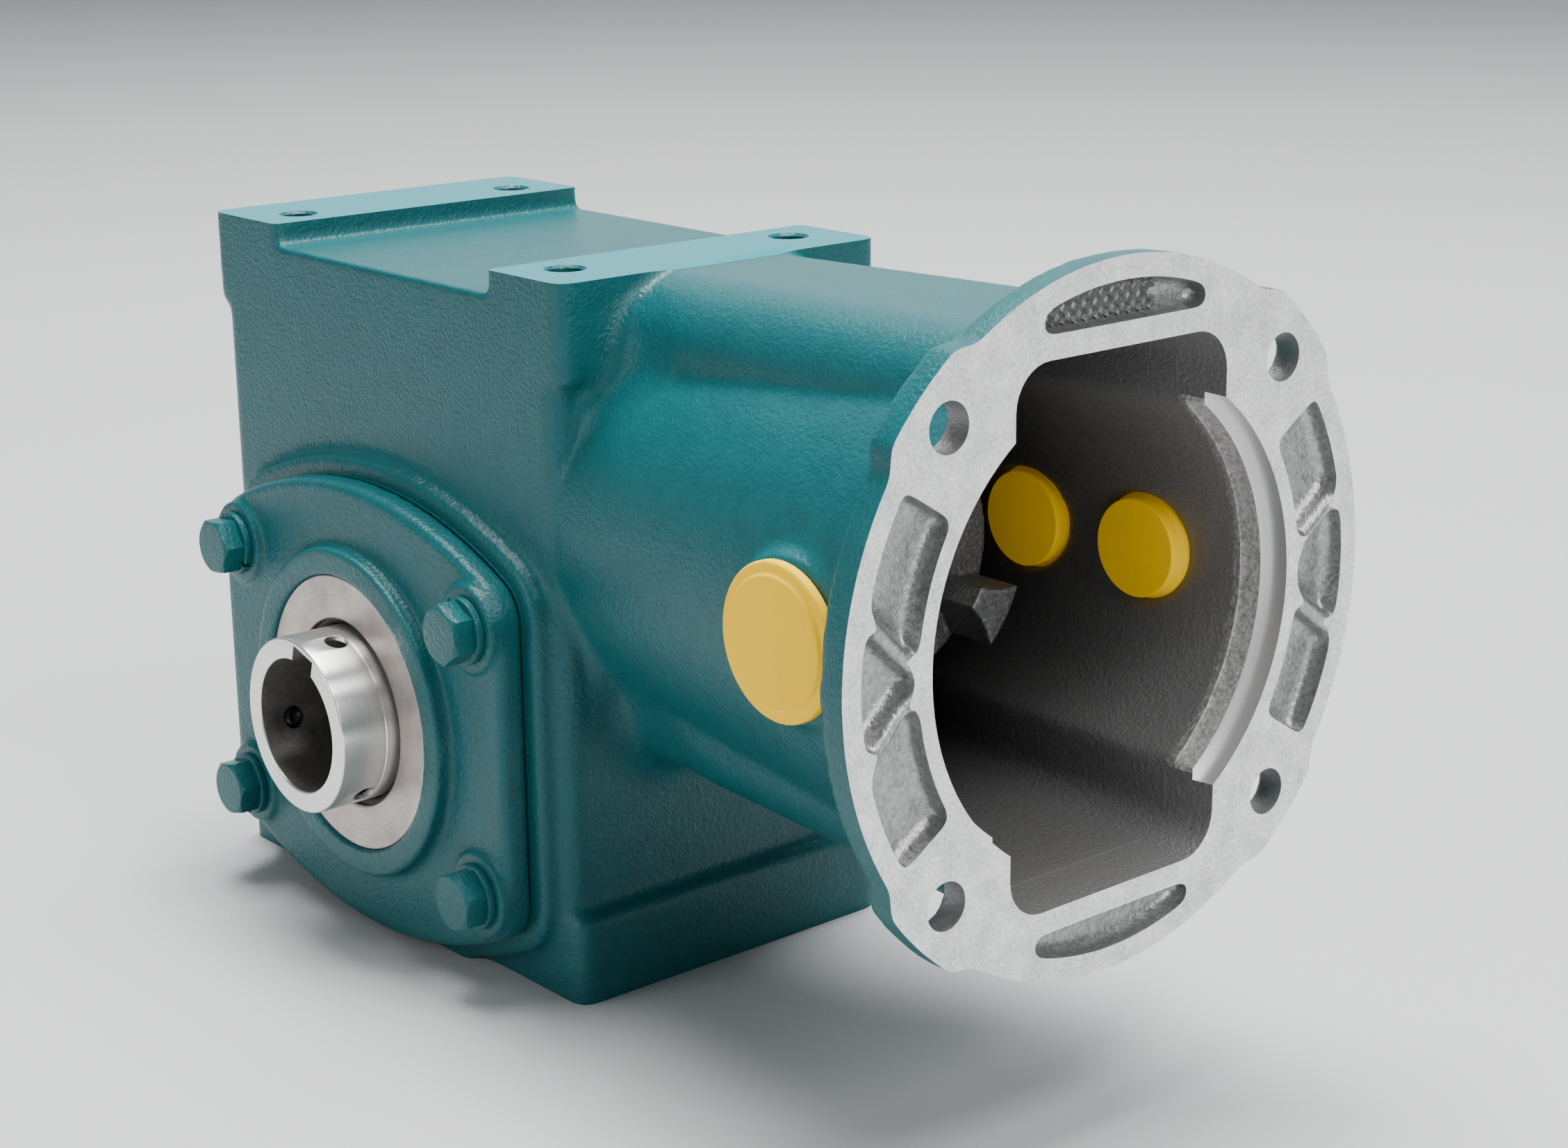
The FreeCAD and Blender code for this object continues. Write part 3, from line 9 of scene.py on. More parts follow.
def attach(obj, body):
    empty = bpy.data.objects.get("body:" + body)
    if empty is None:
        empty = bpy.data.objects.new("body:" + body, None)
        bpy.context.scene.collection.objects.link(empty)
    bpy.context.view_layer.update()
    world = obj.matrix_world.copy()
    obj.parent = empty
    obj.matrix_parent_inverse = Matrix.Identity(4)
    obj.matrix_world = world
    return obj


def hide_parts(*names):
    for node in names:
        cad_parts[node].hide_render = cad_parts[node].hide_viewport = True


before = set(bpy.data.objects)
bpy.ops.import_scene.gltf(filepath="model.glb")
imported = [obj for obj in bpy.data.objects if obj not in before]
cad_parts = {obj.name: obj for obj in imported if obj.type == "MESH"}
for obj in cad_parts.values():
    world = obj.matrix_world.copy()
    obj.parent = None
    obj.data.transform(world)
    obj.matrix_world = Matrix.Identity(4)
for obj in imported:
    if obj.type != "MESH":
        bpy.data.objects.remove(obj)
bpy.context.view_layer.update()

# Camera
# It stands where the photographer stood, worked out from the round motor face and the long edges
# of the case. Its frame is the photograph's, 2257 by 1652.
photo_width = 2257
focal_pixels = 3971.3
sensor_width = 36.0
camera_place = Vector((0.6157, -0.4355, 0.2401))
camera_back = -Vector((-0.7326, 0.6225, -0.2752)).normalized()
camera_right = Vector((0.6498, 0.7601, -0.0104)).normalized()
camera_up = camera_back.cross(camera_right)
camera = bpy.data.objects.new("camera", bpy.data.cameras.new("camera"))
bpy.context.scene.collection.objects.link(camera)
turned_axes = Matrix((camera_right, camera_up, camera_back)).transposed().to_4x4()
camera.matrix_world = Matrix.Translation(camera_place) @ turned_axes
camera.data.sensor_width = sensor_width
camera.data.lens = sensor_width * focal_pixels / photo_width
camera.data.clip_start = 0.02
camera.data.clip_end = 50.0
bpy.context.scene.camera = camera


# Floor
# A wide sheet of pale matt paper, as a studio lays under a machine part. It meets the foot of the
# case.
def linear(code):
    """Linear colour of an sRGB hex code."""
    parts = [int(code[i:i + 2], 16) / 255 for i in (0, 2, 4)]
    return [p / 12.92 if p <= 0.04045 else ((p + 0.055) / 1.055) ** 2.4 for p in parts] + [1.0]


def add(tree, kind, inputs=None, **settings):
    """Adds a node, sets its properties, and fills or links its inputs."""
    made = tree.nodes.new(kind)
    for name, setting in settings.items():
        setattr(made, name, setting)
    for socket, given in (inputs or {}).items():
        if isinstance(given, bpy.types.NodeSocket):
            tree.links.new(given, made.inputs[socket])
        else:
            made.inputs[socket].default_value = given
    return made


def new_material(name):
    """Empty material with its node tree and the object's own coordinates."""
    made = bpy.data.materials.new(name)
    made.use_nodes = True
    made.node_tree.nodes.clear()
    place = add(made.node_tree, "ShaderNodeTexCoord").outputs["Object"]
    return made, made.node_tree, place


def link(name, mesh):
    """Puts a mesh into the scene as a new object."""
    made = bpy.data.objects.new(name, mesh)
    bpy.context.scene.collection.objects.link(made)
    return made


MM = 0.001
foot_face = -63.7
floor_mesh = bpy.data.meshes.new("floor")
sheet = bmesh.new()
bmesh.ops.create_grid(sheet, x_segments=8, y_segments=8, size=15.0)
bmesh.ops.translate(sheet, verts=sheet.verts, vec=(0, 0, foot_face * MM))
sheet.to_mesh(floor_mesh)
sheet.free()
floor = link("floor", floor_mesh)

# Matt paper scatters light evenly, so shadows on it are soft. Its fibres are drawn about 1 mm wide,
# coarser than real, and give it only a faint unevenness.
paper, tree, place = new_material("matt_paper")
fibres = add(tree, "ShaderNodeTexNoise", {"Vector": place, "Scale": 900.0, "Detail": 3.0})
shader = add(tree, "ShaderNodeBsdfPrincipled", {
    "Base Color": linear("B7B8B9"), "Roughness": 0.95,
    "Normal": add(tree, "ShaderNodeBump", {
        "Height": fibres.outputs["Fac"], "Distance": 0.05 * MM}).outputs["Normal"]})
add(tree, "ShaderNodeOutputMaterial", {"Surface": shader.outputs["BSDF"]})
floor.data.materials.append(paper)


# Studio lights
# The studio is a pale tent that glows low behind the part, so level faces mirror that glow. A broad
# box hangs overhead and a small one above the bell, and two beside the camera light the motor face
# and the cover.
middle = Vector((0.06, 0.0, 0.04))


def soft_box(name, at, width, height, watts):
    """Area light that looks at the middle of the part and isn't seen itself."""
    lamp = bpy.data.lights.new(name, "AREA")
    lamp.shape = "RECTANGLE"
    lamp.size = width
    lamp.size_y = height
    lamp.energy = watts
    made = bpy.data.objects.new(name, lamp)
    bpy.context.scene.collection.objects.link(made)
    made.location = at
    made.visible_camera = False
    made.rotation_mode = "QUATERNION"
    made.rotation_quaternion = (middle - Vector(at)).to_track_quat("-Z", "Y")


soft_box("top_box", at=(-0.3, 0.4, 2.6), width=1.7, height=1.4, watts=215)
soft_box("key_box", at=(0.75, 0.05, 1.0), width=0.3, height=0.3, watts=6)
soft_box("face_box", at=(1.35, 0.1, 0.6), width=0.7, height=0.7, watts=11)
soft_box("side_box", at=(-0.2, -1.3, 0.45), width=0.7, height=0.9, watts=6.5)
tent = bpy.data.worlds.new("tent")
tent.use_nodes = True
tree = tent.node_tree
tree.nodes.clear()
low_behind = (-0.71, 0.60, 0.37)
outwards = add(tree, "ShaderNodeTexCoord").outputs["Generated"]
behind = add(tree, "ShaderNodeVectorMath", {0: outwards, 1: low_behind},
             operation="DOT_PRODUCT")
glow = add(tree, "ShaderNodeMapRange", {"Value": behind.outputs["Value"], "From Min": 0.6,
                                        "From Max": 1.0, "To Min": 0.22, "To Max": 1.5},
           interpolation_type="SMOOTHSTEP")
cloth = add(tree, "ShaderNodeBackground", {"Color": linear("D3D6DA"),
                                           "Strength": glow.outputs["Result"]})
add(tree, "ShaderNodeOutputWorld", {"Surface": cloth.outputs["Background"]})
bpy.context.scene.world = tent


# Housing
# One sand-cast grey iron shell: gear case, bell and motor flange. It is cast soft at every edge, its
# pads and foot are milled, and it is painted outside. The motor face and its pilot are machined
# after that, so they are bare and crisp.
def copy_mesh(node):
    """Copy of a CAD node's mesh, with its doubled corners merged."""
    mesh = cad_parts[node].data.copy()
    shell = bmesh.new()
    shell.from_mesh(mesh)
    bmesh.ops.remove_doubles(shell, verts=shell.verts, dist=0.002 * MM)
    shell.to_mesh(mesh)
    shell.free()
    mesh.materials.clear()
    return mesh


def stretch(mesh, axis, at, by):
    """Moves the corners that lie in a plane, which leaves metal there for machining."""
    corners = np.empty(len(mesh.vertices) * 3)
    mesh.vertices.foreach_get("co", corners)
    corners = corners.reshape(-1, 3)
    corners[np.abs(corners[:, axis] - at * MM) < 0.01 * MM, axis] += by * MM
    mesh.vertices.foreach_set("co", corners.ravel())


def rod(axis, centre, radius, start, end, sides=96, end_radius=None):
    """Round bar or cone along X, Y or Z, as a mesh, for filling and cutting holes."""
    bar = bmesh.new()
    last = radius if end_radius is None else end_radius
    bmesh.ops.create_cone(bar, cap_ends=True, segments=sides, radius1=radius * MM,
                          radius2=last * MM, depth=(end - start) * MM)
    turns = {0: Matrix.Rotation(math.pi / 2, 4, "Y"), 1: Matrix.Rotation(-math.pi / 2, 4, "X"),
             2: Matrix.Identity(4)}
    place = [c * MM for c in centre]
    place.insert(axis, (start + end) / 2 * MM)
    bmesh.ops.transform(bar, verts=bar.verts, matrix=Matrix.Translation(place) @ turns[axis])
    mesh = bpy.data.meshes.new("rod")
    bar.to_mesh(mesh)
    bar.free()
    return mesh


def joined(*meshes):
    """Several meshes as one."""
    whole = bmesh.new()
    for mesh in meshes:
        whole.from_mesh(mesh)
    mesh = bpy.data.meshes.new("joined")
    whole.to_mesh(mesh)
    whole.free()
    return mesh


def applied(piece):
    """Replaces a piece's mesh by what its modifiers make of it."""
    shape = piece.evaluated_get(bpy.context.evaluated_depsgraph_get())
    mesh = bpy.data.meshes.new_from_object(shape)
    piece.modifiers.clear()
    piece.data = mesh


def remeshed(piece, voxel):
    """Turns overlapping solids into one even skin."""
    grid = piece.modifiers.new("grid", "REMESH")
    grid.mode = "VOXEL"
    grid.voxel_size = voxel * MM
    applied(piece)


def relax(piece, passes):
    """Rounds all edges by averaging each point with its neighbours; passes(points) says how often."""
    mesh = piece.data
    points = np.empty(len(mesh.vertices) * 3)
    mesh.vertices.foreach_get("co", points)
    points = points.reshape(-1, 3)
    edges = np.empty(len(mesh.edges) * 2, int)
    mesh.edges.foreach_get("vertices", edges)
    first, second = edges.reshape(-1, 2).T
    count = np.bincount(edges, minlength=len(points))
    wanted = passes(points / MM)
    for turn in range(int(wanted.max())):
        share = 0.5 * (wanted > turn)
        for axis in range(3):
            line = points[:, axis]
            around = np.bincount(first, line[second], len(line))
            around += np.bincount(second, line[first], len(line))
            points[:, axis] = line + share * (around / count - line)
    mesh.vertices.foreach_set("co", points.ravel())
    mesh.update()


def cut(piece, mesh, operation="DIFFERENCE"):
    """Machines a piece with a solid."""
    tool = link("tool", mesh)
    while len(tool.data.materials) < len(piece.data.materials):
        tool.data.materials.append(None)
    work = piece.modifiers.new("work", "BOOLEAN")
    work.operation = operation
    work.object = tool
    work.solver = "MANIFOLD"
    applied(piece)
    bpy.data.objects.remove(tool)


def thin_out(piece, share):
    """Drops points where the skin is nearly flat."""
    fewer = piece.modifiers.new("fewer", "DECIMATE")
    fewer.ratio = share
    applied(piece)


def block(low, high):
    """Plain box between two corners, as a mesh, for cutting."""
    cube = bmesh.new()
    bmesh.ops.create_cube(cube, size=1.0)
    size = [(h - l) * MM for l, h in zip(low, high)]
    centre = [(h + l) / 2 * MM for l, h in zip(low, high)]
    bmesh.ops.scale(cube, verts=cube.verts, vec=size)
    bmesh.ops.translate(cube, verts=cube.verts, vec=centre)
    mesh = bpy.data.meshes.new("block")
    cube.to_mesh(mesh)
    cube.free()
    return mesh


def loft(*loops):
    """Solid that runs through loops of points in millimetres, as a mesh."""
    skin = bmesh.new()
    rings = [[skin.verts.new(Vector(point) * MM) for point in loop] for loop in loops]
    skin.faces.new(rings[0])
    skin.faces.new(rings[-1][::-1])
    for lower, upper in zip(rings, rings[1:]):
        for k in range(len(lower)):
            j = (k + 1) % len(lower)
            skin.faces.new((lower[j], lower[k], upper[k], upper[j]))
    bmesh.ops.recalc_face_normals(skin, faces=skin.faces)
    mesh = bpy.data.meshes.new("loft")
    skin.to_mesh(mesh)
    skin.free()
    return mesh


def smooth(piece, degrees=30):
    """Shades a piece smooth, with edges where it turns sharply."""
    piece.data.shade_smooth()
    piece.data.set_sharp_from_angle(angle=math.radians(degrees))


worm_height = 60.325
flange_face = 218.0
pad_face = 125.125
pad_front = 82.0
bolt_circle = 74.6125
bolt_hole = 5.7
seat_start = 206.5
seat_radius = 54.9
pilot_start = 212.0
pilot_radius = 57.15
past_flange = 225
plug_hole = 13.35
pad_tap = 4.7625
pad_tap_end = 111.2
pad_holes = [(x, y) for x in (-63.5, 63.5) for y in (-36.5, 36.5)]
plug_holes = [(177.5, -1), (177.5, 1), (139.0, 1)]


def lobe_outline(x):
    """Round-cornered outline of the flange's upright opening, which narrows into the bell."""
    inset = (flange_face - x) * math.tan(math.radians(3.3))
    half_width, half_height, corner = 33.4 - inset, 62.6 - inset, 10.0
    points = []
    for k, (side, up) in enumerate(((1, 1), (-1, 1), (-1, -1), (1, -1))):
        for step in range(9):
            angle = math.radians(90 * (k + step / 8))
            points.append((x, side * (half_width - corner) + corner * math.cos(angle),
                           worm_height + up * (half_height - corner) + corner * math.sin(angle)))
    return points


def casting_passes(points):
    """How soft each region of the casting is: softest in the corner between case and bell."""
    x, y, z = points.T
    on_flange = x > 196
    near_pads = z > 108
    passes = np.where(on_flange, 12, np.where(near_pads, 6, 11))
    corner_passes = 130
    below_pads = np.clip((122 - z) / 13, 0, 1)
    past_case = np.clip((x - 76) / 2, 0, 1)
    within_width = np.clip((46 - np.abs(y)) / 3, 0, 1)
    before_bell = np.clip((106 - x) / 9, 0, 1)
    above_foot = np.clip((z + 35) / 8, 0, 1)
    share = below_pads * past_case
    share *= within_width * before_bell
    share *= above_foot
    return passes + (corner_passes - passes) * share


# The pad holes, the pilot and the plug holes are filled before the casting is softened, and are
# machined after it.
casting_mesh = copy_mesh("housing")
stretch(casting_mesh, 0, flange_face, 4)
stretch(casting_mesh, 0, flange_face - 1, 1.2)
stretch(casting_mesh, 2, pad_face, 3)
stretch(casting_mesh, 2, foot_face, -3)
fillings = [rod(2, hole, 5.8, 112, 127) for hole in pad_holes]
fillings.append(rod(0, (0, worm_height), 59.5, 209, 222))
for x, side in plug_holes:
    ends = sorted((side * 55, side * 62.5))
    fillings.append(rod(1, (x, worm_height), 13.7, *ends))
casting = link("casting", joined(casting_mesh, *fillings))
remeshed(casting, voxel=1.1)
relax(casting, casting_passes)
cut(casting, block((-200, -200, foot_face), (flange_face, 200, 200)), "INTERSECT")
cut(casting, block((-200, -200, pad_face), (95, 200, pad_face + 9)))
cut(casting, rod(0, (0, worm_height), seat_radius, seat_start, past_flange, 160))
cut(casting, rod(0, (0, worm_height), pilot_radius, pilot_start, past_flange, 160))
cut(casting, loft(lobe_outline(204), lobe_outline(222)))
drills = [rod(2, hole, pad_tap, pad_tap_end, 130, 48) for hole in pad_holes]
for angle in (45, 135, 225, 315):
    across, up = (bolt_circle * f(math.radians(angle)) for f in (math.cos, math.sin))
    drills.append(rod(0, (across, worm_height + up), bolt_hole, 206, past_flange, 64))
for x, side in plug_holes:
    drills.append(rod(1, (x, worm_height), plug_hole, *sorted((side * 40, side * 75))))
cut(casting, joined(*drills))
sinks = [rod(2, hole, 4.6, pad_face - 0.9, pad_face + 0.1, 48, 5.6) for hole in pad_holes]
cut(casting, joined(*sinks))
thin_out(casting, share=0.5)

# A diamond hatch stands in the left part of the upper pocket, as the mould-maker cut it.
hatch_pitch = 3.4
hatch_slope = 0.8
ridge_half_width = 0.75
ridge_height = 1.5
ridge_root = 0.4


def pocket_floor(y, up):
    """Where the floor of a flange pocket lies along X, found on the casting itself."""
    start = Vector((flange_face - 0.1, y, worm_height + up)) * MM
    return casting.ray_cast(start, Vector((-1, 0, 0)))[1].x / MM


def in_pocket(y, up):
    """Whether a point lies in the hatched part of the upper pocket."""
    return -24 < y < 13 and up > 68.9 and math.hypot(y, up) < 76.4


hatch = []
for slant in (-1, 1):
    across = Vector((0, 1, -slant * hatch_slope)).normalized() * ridge_half_width
    for number in range(-14, 12):
        line = [(number * hatch_pitch + slant * t * hatch_slope, 72.5 + t)
                for t in np.linspace(-5, 5, 21)]
        line = [point for point in line if in_pocket(*point)]
        if len(line) < 3:
            continue
        loops = []
        for y, up in line:
            root = Vector((pocket_floor(y, up) - ridge_root, y, worm_height + up))
            loops.append((root - across, root + across, root + Vector((ridge_height, 0, 0))))
        hatch.append(loft(*loops))
casting.data = joined(casting.data, *hatch)

# Enamel sprayed over the sandy skin of the casting keeps the sand's grain, so its gloss breaks into
# sparkles on every rounded edge. The grain is drawn 1.2 mm wide, coarser than real, over lumps of
# 6 mm.
enamel, tree, place = new_material("teal_enamel_on_cast_iron")
grain = add(tree, "ShaderNodeTexNoise", {"Vector": place, "Scale": 1000 / 1.2, "Detail": 3.0,
                                         "Roughness": 0.6})
lumps = add(tree, "ShaderNodeTexNoise", {"Vector": place, "Scale": 1000 / 6.0, "Detail": 2.0})
tint = add(tree, "ShaderNodeValToRGB", {"Fac": lumps.outputs["Fac"]})
tint.color_ramp.elements[0].position = 0.3
tint.color_ramp.elements[0].color = linear("0C5256")
tint.color_ramp.elements[1].position = 0.7
tint.color_ramp.elements[1].color = linear("0E575B")
swell = add(tree, "ShaderNodeBump", {"Height": lumps.outputs["Fac"], "Distance": 0.12 * MM})
pits = add(tree, "ShaderNodeBump", {"Height": grain.outputs["Fac"], "Distance": 0.34 * MM,
                                    "Normal": swell.outputs["Normal"]})
shader = add(tree, "ShaderNodeBsdfPrincipled", {
    "Base Color": tint.outputs["Color"], "Roughness": 0.3, "Specular IOR Level": 0.26,
    "Normal": pits.outputs["Normal"]})
add(tree, "ShaderNodeOutputMaterial", {"Surface": shader.outputs["BSDF"]})

# The same enamel on a milled pad has no sand under it, so it lies smooth. Its colour is painted
# lighter than the enamel elsewhere, as painted light from above. Its ripples are 2 mm wide.
pad_enamel_painted_lit, tree, place = new_material("teal_enamel_on_milled_pad_painted_lit")
grain = add(tree, "ShaderNodeTexNoise", {"Vector": place, "Scale": 1000 / 2.0, "Detail": 3.0})
tint = add(tree, "ShaderNodeValToRGB", {"Fac": grain.outputs["Fac"]})
tint.color_ramp.elements[0].position = 0.3
tint.color_ramp.elements[0].color = linear("157780")
tint.color_ramp.elements[1].position = 0.7
tint.color_ramp.elements[1].color = linear("187E87")
shader = add(tree, "ShaderNodeBsdfPrincipled", {
    "Base Color": tint.outputs["Color"], "Roughness": 0.3, "Specular IOR Level": 0.22,
    "Normal": add(tree, "ShaderNodeBump", {
        "Height": grain.outputs["Fac"], "Distance": 0.08 * MM}).outputs["Normal"]})
add(tree, "ShaderNodeOutputMaterial", {"Surface": shader.outputs["BSDF"]})

# Face-milled grey iron is a light matt grey with clouds of graphite 7 mm wide. Its grit is drawn
# 0.9 mm wide, coarser than real, so that it shows.
milled, tree, place = new_material("milled_cast_iron")
grit = add(tree, "ShaderNodeTexNoise", {"Vector": place, "Scale": 1000 / 0.9, "Detail": 4.0,
                                        "Roughness": 0.75})
cloud = add(tree, "ShaderNodeTexNoise", {"Vector": place, "Scale": 1000 / 7.0, "Detail": 3.0})
blend = add(tree, "ShaderNodeMath", {0: cloud.outputs["Fac"], 1: 0.45, 2: grit.outputs["Fac"]},
            operation="MULTIPLY_ADD")
shade = add(tree, "ShaderNodeValToRGB", {"Fac": blend.outputs["Value"]})
shade.color_ramp.elements[0].position = 0.48
shade.color_ramp.elements[0].color = linear("B2B3B3")
shade.color_ramp.elements[1].position = 0.9
shade.color_ramp.elements[1].color = linear("F3F3F2")
shader = add(tree, "ShaderNodeBsdfPrincipled", {
    "Base Color": shade.outputs["Color"], "Metallic": 0.6, "Roughness": 0.5,
    "Normal": add(tree, "ShaderNodeBump", {
        "Height": grit.outputs["Fac"], "Distance": 0.05 * MM}).outputs["Normal"]})
add(tree, "ShaderNodeOutputMaterial", {"Surface": shader.outputs["BSDF"]})

# The pockets stay unpainted: dull grey iron whose sandy skin glints where it is round. The sand is
# drawn 1.2 mm wide, coarser than real.
bare, tree, place = new_material("bare_cast_iron")
sand = add(tree, "ShaderNodeTexNoise", {"Vector": place, "Scale": 1000 / 1.2, "Detail": 3.0,
                                        "Roughness": 0.6})
shade = add(tree, "ShaderNodeValToRGB", {"Fac": sand.outputs["Fac"]})
shade.color_ramp.elements[0].position = 0.3
shade.color_ramp.elements[0].color = linear("838483")
shade.color_ramp.elements[1].position = 0.7
shade.color_ramp.elements[1].color = linear("ACADAC")
shader = add(tree, "ShaderNodeBsdfPrincipled", {
    "Base Color": shade.outputs["Color"], "Metallic": 0.85, "Roughness": 0.36,
    "Normal": add(tree, "ShaderNodeBump", {
        "Height": sand.outputs["Fac"], "Distance": 0.22 * MM}).outputs["Normal"]})
add(tree, "ShaderNodeOutputMaterial", {"Surface": shader.outputs["BSDF"]})

# The pilot is bored, so its wall has a satin shine with rings round it. They are drawn 0.6 mm apart,
# coarser than the real feed, so that they show.
bored, tree, place = new_material("bored_cast_iron")
parts = add(tree, "ShaderNodeSeparateXYZ", {"Vector": place})
along = add(tree, "ShaderNodeCombineXYZ", {"X": parts.outputs["X"]})
grooves = add(tree, "ShaderNodeTexNoise", {"Vector": along.outputs["Vector"], "Scale": 1000 / 0.6,
                                           "Detail": 3.0})
shader = add(tree, "ShaderNodeBsdfPrincipled", {
    "Base Color": linear("E2E2E2"), "Metallic": 0.7, "Roughness": 0.36,
    "Normal": add(tree, "ShaderNodeBump", {
        "Height": grooves.outputs["Fac"], "Distance": 0.02 * MM}).outputs["Normal"]})
add(tree, "ShaderNodeOutputMaterial", {"Surface": shader.outputs["BSDF"]})

# Inside the bell the sandy iron is painted darker the deeper it lies, as painted shade: mid grey near
# the mouth, nearly black far in. The painted shade ends in a ragged line some millimetres behind the
# machined pilot, where a band of bare iron is drawn light, partly as painted light at the mouth. The
# sand is drawn 1.2 mm wide again.
inside_iron_painted_shade, tree, place = new_material("inside_cast_iron_painted_shade")
sand = add(tree, "ShaderNodeTexNoise", {"Vector": place, "Scale": 1000 / 1.2, "Detail": 3.0,
                                        "Roughness": 0.65})
parts = add(tree, "ShaderNodeSeparateXYZ", {"Vector": place})
ragged = add(tree, "ShaderNodeMath", {0: sand.outputs["Fac"], 1: 5.0 * MM, 2: parts.outputs["X"]},
             operation="MULTIPLY_ADD")
line = add(tree, "ShaderNodeMapRange", {"Value": ragged.outputs["Value"],
                                        "From Min": seat_start * MM,
                                        "From Max": (seat_start + 4) * MM})
depth = add(tree, "ShaderNodeMapRange", {"Value": parts.outputs["X"], "From Min": 125 * MM,
                                         "From Max": 207 * MM})
# Deeper in the bell the colour is painted darker, as painted shade.
painted_depth_shade = add(tree, "ShaderNodeMix", {"Factor": depth.outputs["Result"], "A": linear("232324"),
                                   "B": linear("7E7E7E")}, data_type="RGBA")
across = add(tree, "ShaderNodeCombineXYZ", {"X": parts.outputs["Y"], "Y": parts.outputs["Z"]})
radius = add(tree, "ShaderNodeVectorMath", {0: across.outputs["Vector"],
                                            1: (0, worm_height * MM, 0)}, operation="DISTANCE")
round_part = add(tree, "ShaderNodeMath", {0: radius.outputs["Value"],
                                          1: (seat_radius + 0.9) * MM}, operation="LESS_THAN")
shoulder = add(tree, "ShaderNodeMath", {0: line.outputs["Result"], 1: round_part.outputs["Value"]},
               operation="MULTIPLY")
# The bare iron band is drawn light, partly its own grey and partly painted light at the bell's mouth.
bare_band_painted_light = add(tree, "ShaderNodeValToRGB", {"Fac": sand.outputs["Fac"]})
bare_band_painted_light.color_ramp.elements[0].position = 0.3
bare_band_painted_light.color_ramp.elements[0].color = linear("9C9C9B")
bare_band_painted_light.color_ramp.elements[1].position = 0.7
bare_band_painted_light.color_ramp.elements[1].color = linear("E6E6E5")
skin = add(tree, "ShaderNodeMix", {"Factor": shoulder.outputs["Value"], "A": painted_depth_shade.outputs["Result"],
                                   "B": bare_band_painted_light.outputs["Color"]}, data_type="RGBA")
shader = add(tree, "ShaderNodeBsdfPrincipled", {
    "Base Color": skin.outputs["Result"], "Metallic": 0.35, "Roughness": 0.4,
    "Normal": add(tree, "ShaderNodeBump", {
        "Height": sand.outputs["Fac"], "Distance": 0.45 * MM}).outputs["Normal"]})
add(tree, "ShaderNodeOutputMaterial", {"Surface": shader.outputs["BSDF"]})

# Each face takes its coat from where it lies. It is inside when nothing of the casting stands
# between it and the axis of the bell.
coat_order = [enamel, milled, bare, inside_iron_painted_shade, bored, pad_enamel_painted_lit]
casting.data.materials.clear()
for coat in coat_order:
    casting.data.materials.append(coat)
faces = casting.data.polygons
centres = np.empty(len(faces) * 3)
faces.foreach_get("center", centres)
x, y, z = (centres.reshape(-1, 3) / MM).T
up = z - worm_height
reach = np.hypot(y, up)
normals = np.empty(len(faces) * 3)
faces.foreach_get("normal", normals)
normals = normals.reshape(-1, 3)
inside = np.zeros(len(faces), bool)
for k in np.flatnonzero((x > 60) & (reach > 12) & (reach < 90)):
    start = Vector((x[k], y[k], z[k])) * MM + Vector(normals[k]) * 0.1 * MM
    towards = Vector((0, -y[k], -up[k])).normalized()
    inside[k] = not casting.ray_cast(start, towards, distance=(reach[k] - 10) * MM)[0]
coats = np.zeros(len(faces), np.int32)
bolt_offset = round(bolt_circle * math.sqrt(0.5), 2)
bolt_reach = np.hypot(np.abs(y) - bolt_offset, np.abs(up) - bolt_offset)
in_pockets = (x > 211) & (reach > 58) & (reach < 79)
in_bolt_holes = (x > 209.5) & (bolt_reach < bolt_hole + 0.1)
pilot_wall = (x > pilot_start - 0.1) & (np.abs(reach - pilot_radius) < 0.25)
pilot_ledge = (np.abs(x - pilot_start) < 0.05) & (reach < pilot_radius + 0.15)
on_motor_face = x > flange_face - 0.05
on_pads = (x < pad_front + 0.1) & (np.abs(z - pad_face) < 0.05)


def lay(coat, where):
    """Gives the chosen faces of the casting a coat."""
    coats[where] = coat_order.index(coat)


lay(bare, in_pockets)
# Inside the bell the iron takes the colour painted darker with depth, as painted shade.
lay(inside_iron_painted_shade, inside)
# The bolt holes take the same colour, darker than bare iron, as painted shade inside them.
lay(inside_iron_painted_shade, in_bolt_holes)
lay(bored, pilot_wall)
lay(bored, pilot_ledge)
lay(milled, on_motor_face)
# The pad tops take the enamel painted lighter, as painted light.
lay(pad_enamel_painted_lit, on_pads)
faces.foreach_set("material_index", coats)
smooth(casting, 40)
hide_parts("housing")
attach(casting, "case")


# Worm shaft, its bearings and its seal
# The worm is cut and ground from one bar of steel, and its front end is keyed for the coupling half.
# Two ball bearings, a spring ring and a rubber seal hold it in the case.
def dress(node, coat):
    """Gives a CAD node a material."""
    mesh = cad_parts[node].data
    mesh.materials.clear()
    mesh.materials.append(coat)


# Steel turned bright on a lathe has fine rings round it, so each light is drawn out into a streak
# along the shaft. The rings are drawn 0.5 mm apart, coarser than the real feed, so that they show.
bright, tree, place = new_material("bright_turned_steel")
parts = add(tree, "ShaderNodeSeparateXYZ", {"Vector": place})
along = add(tree, "ShaderNodeCombineXYZ", {"Y": parts.outputs["Y"]})
lathe = add(tree, "ShaderNodeTexNoise", {"Vector": along.outputs["Vector"], "Scale": 1000 / 0.5,
                                         "Detail": 4.0, "Roughness": 0.7})
shade = add(tree, "ShaderNodeValToRGB", {"Fac": lathe.outputs["Fac"]})
shade.color_ramp.elements[0].position = 0.3
shade.color_ramp.elements[0].color = linear("D6D4D1")
shade.color_ramp.elements[1].position = 0.7
shade.color_ramp.elements[1].color = linear("F4F2EF")
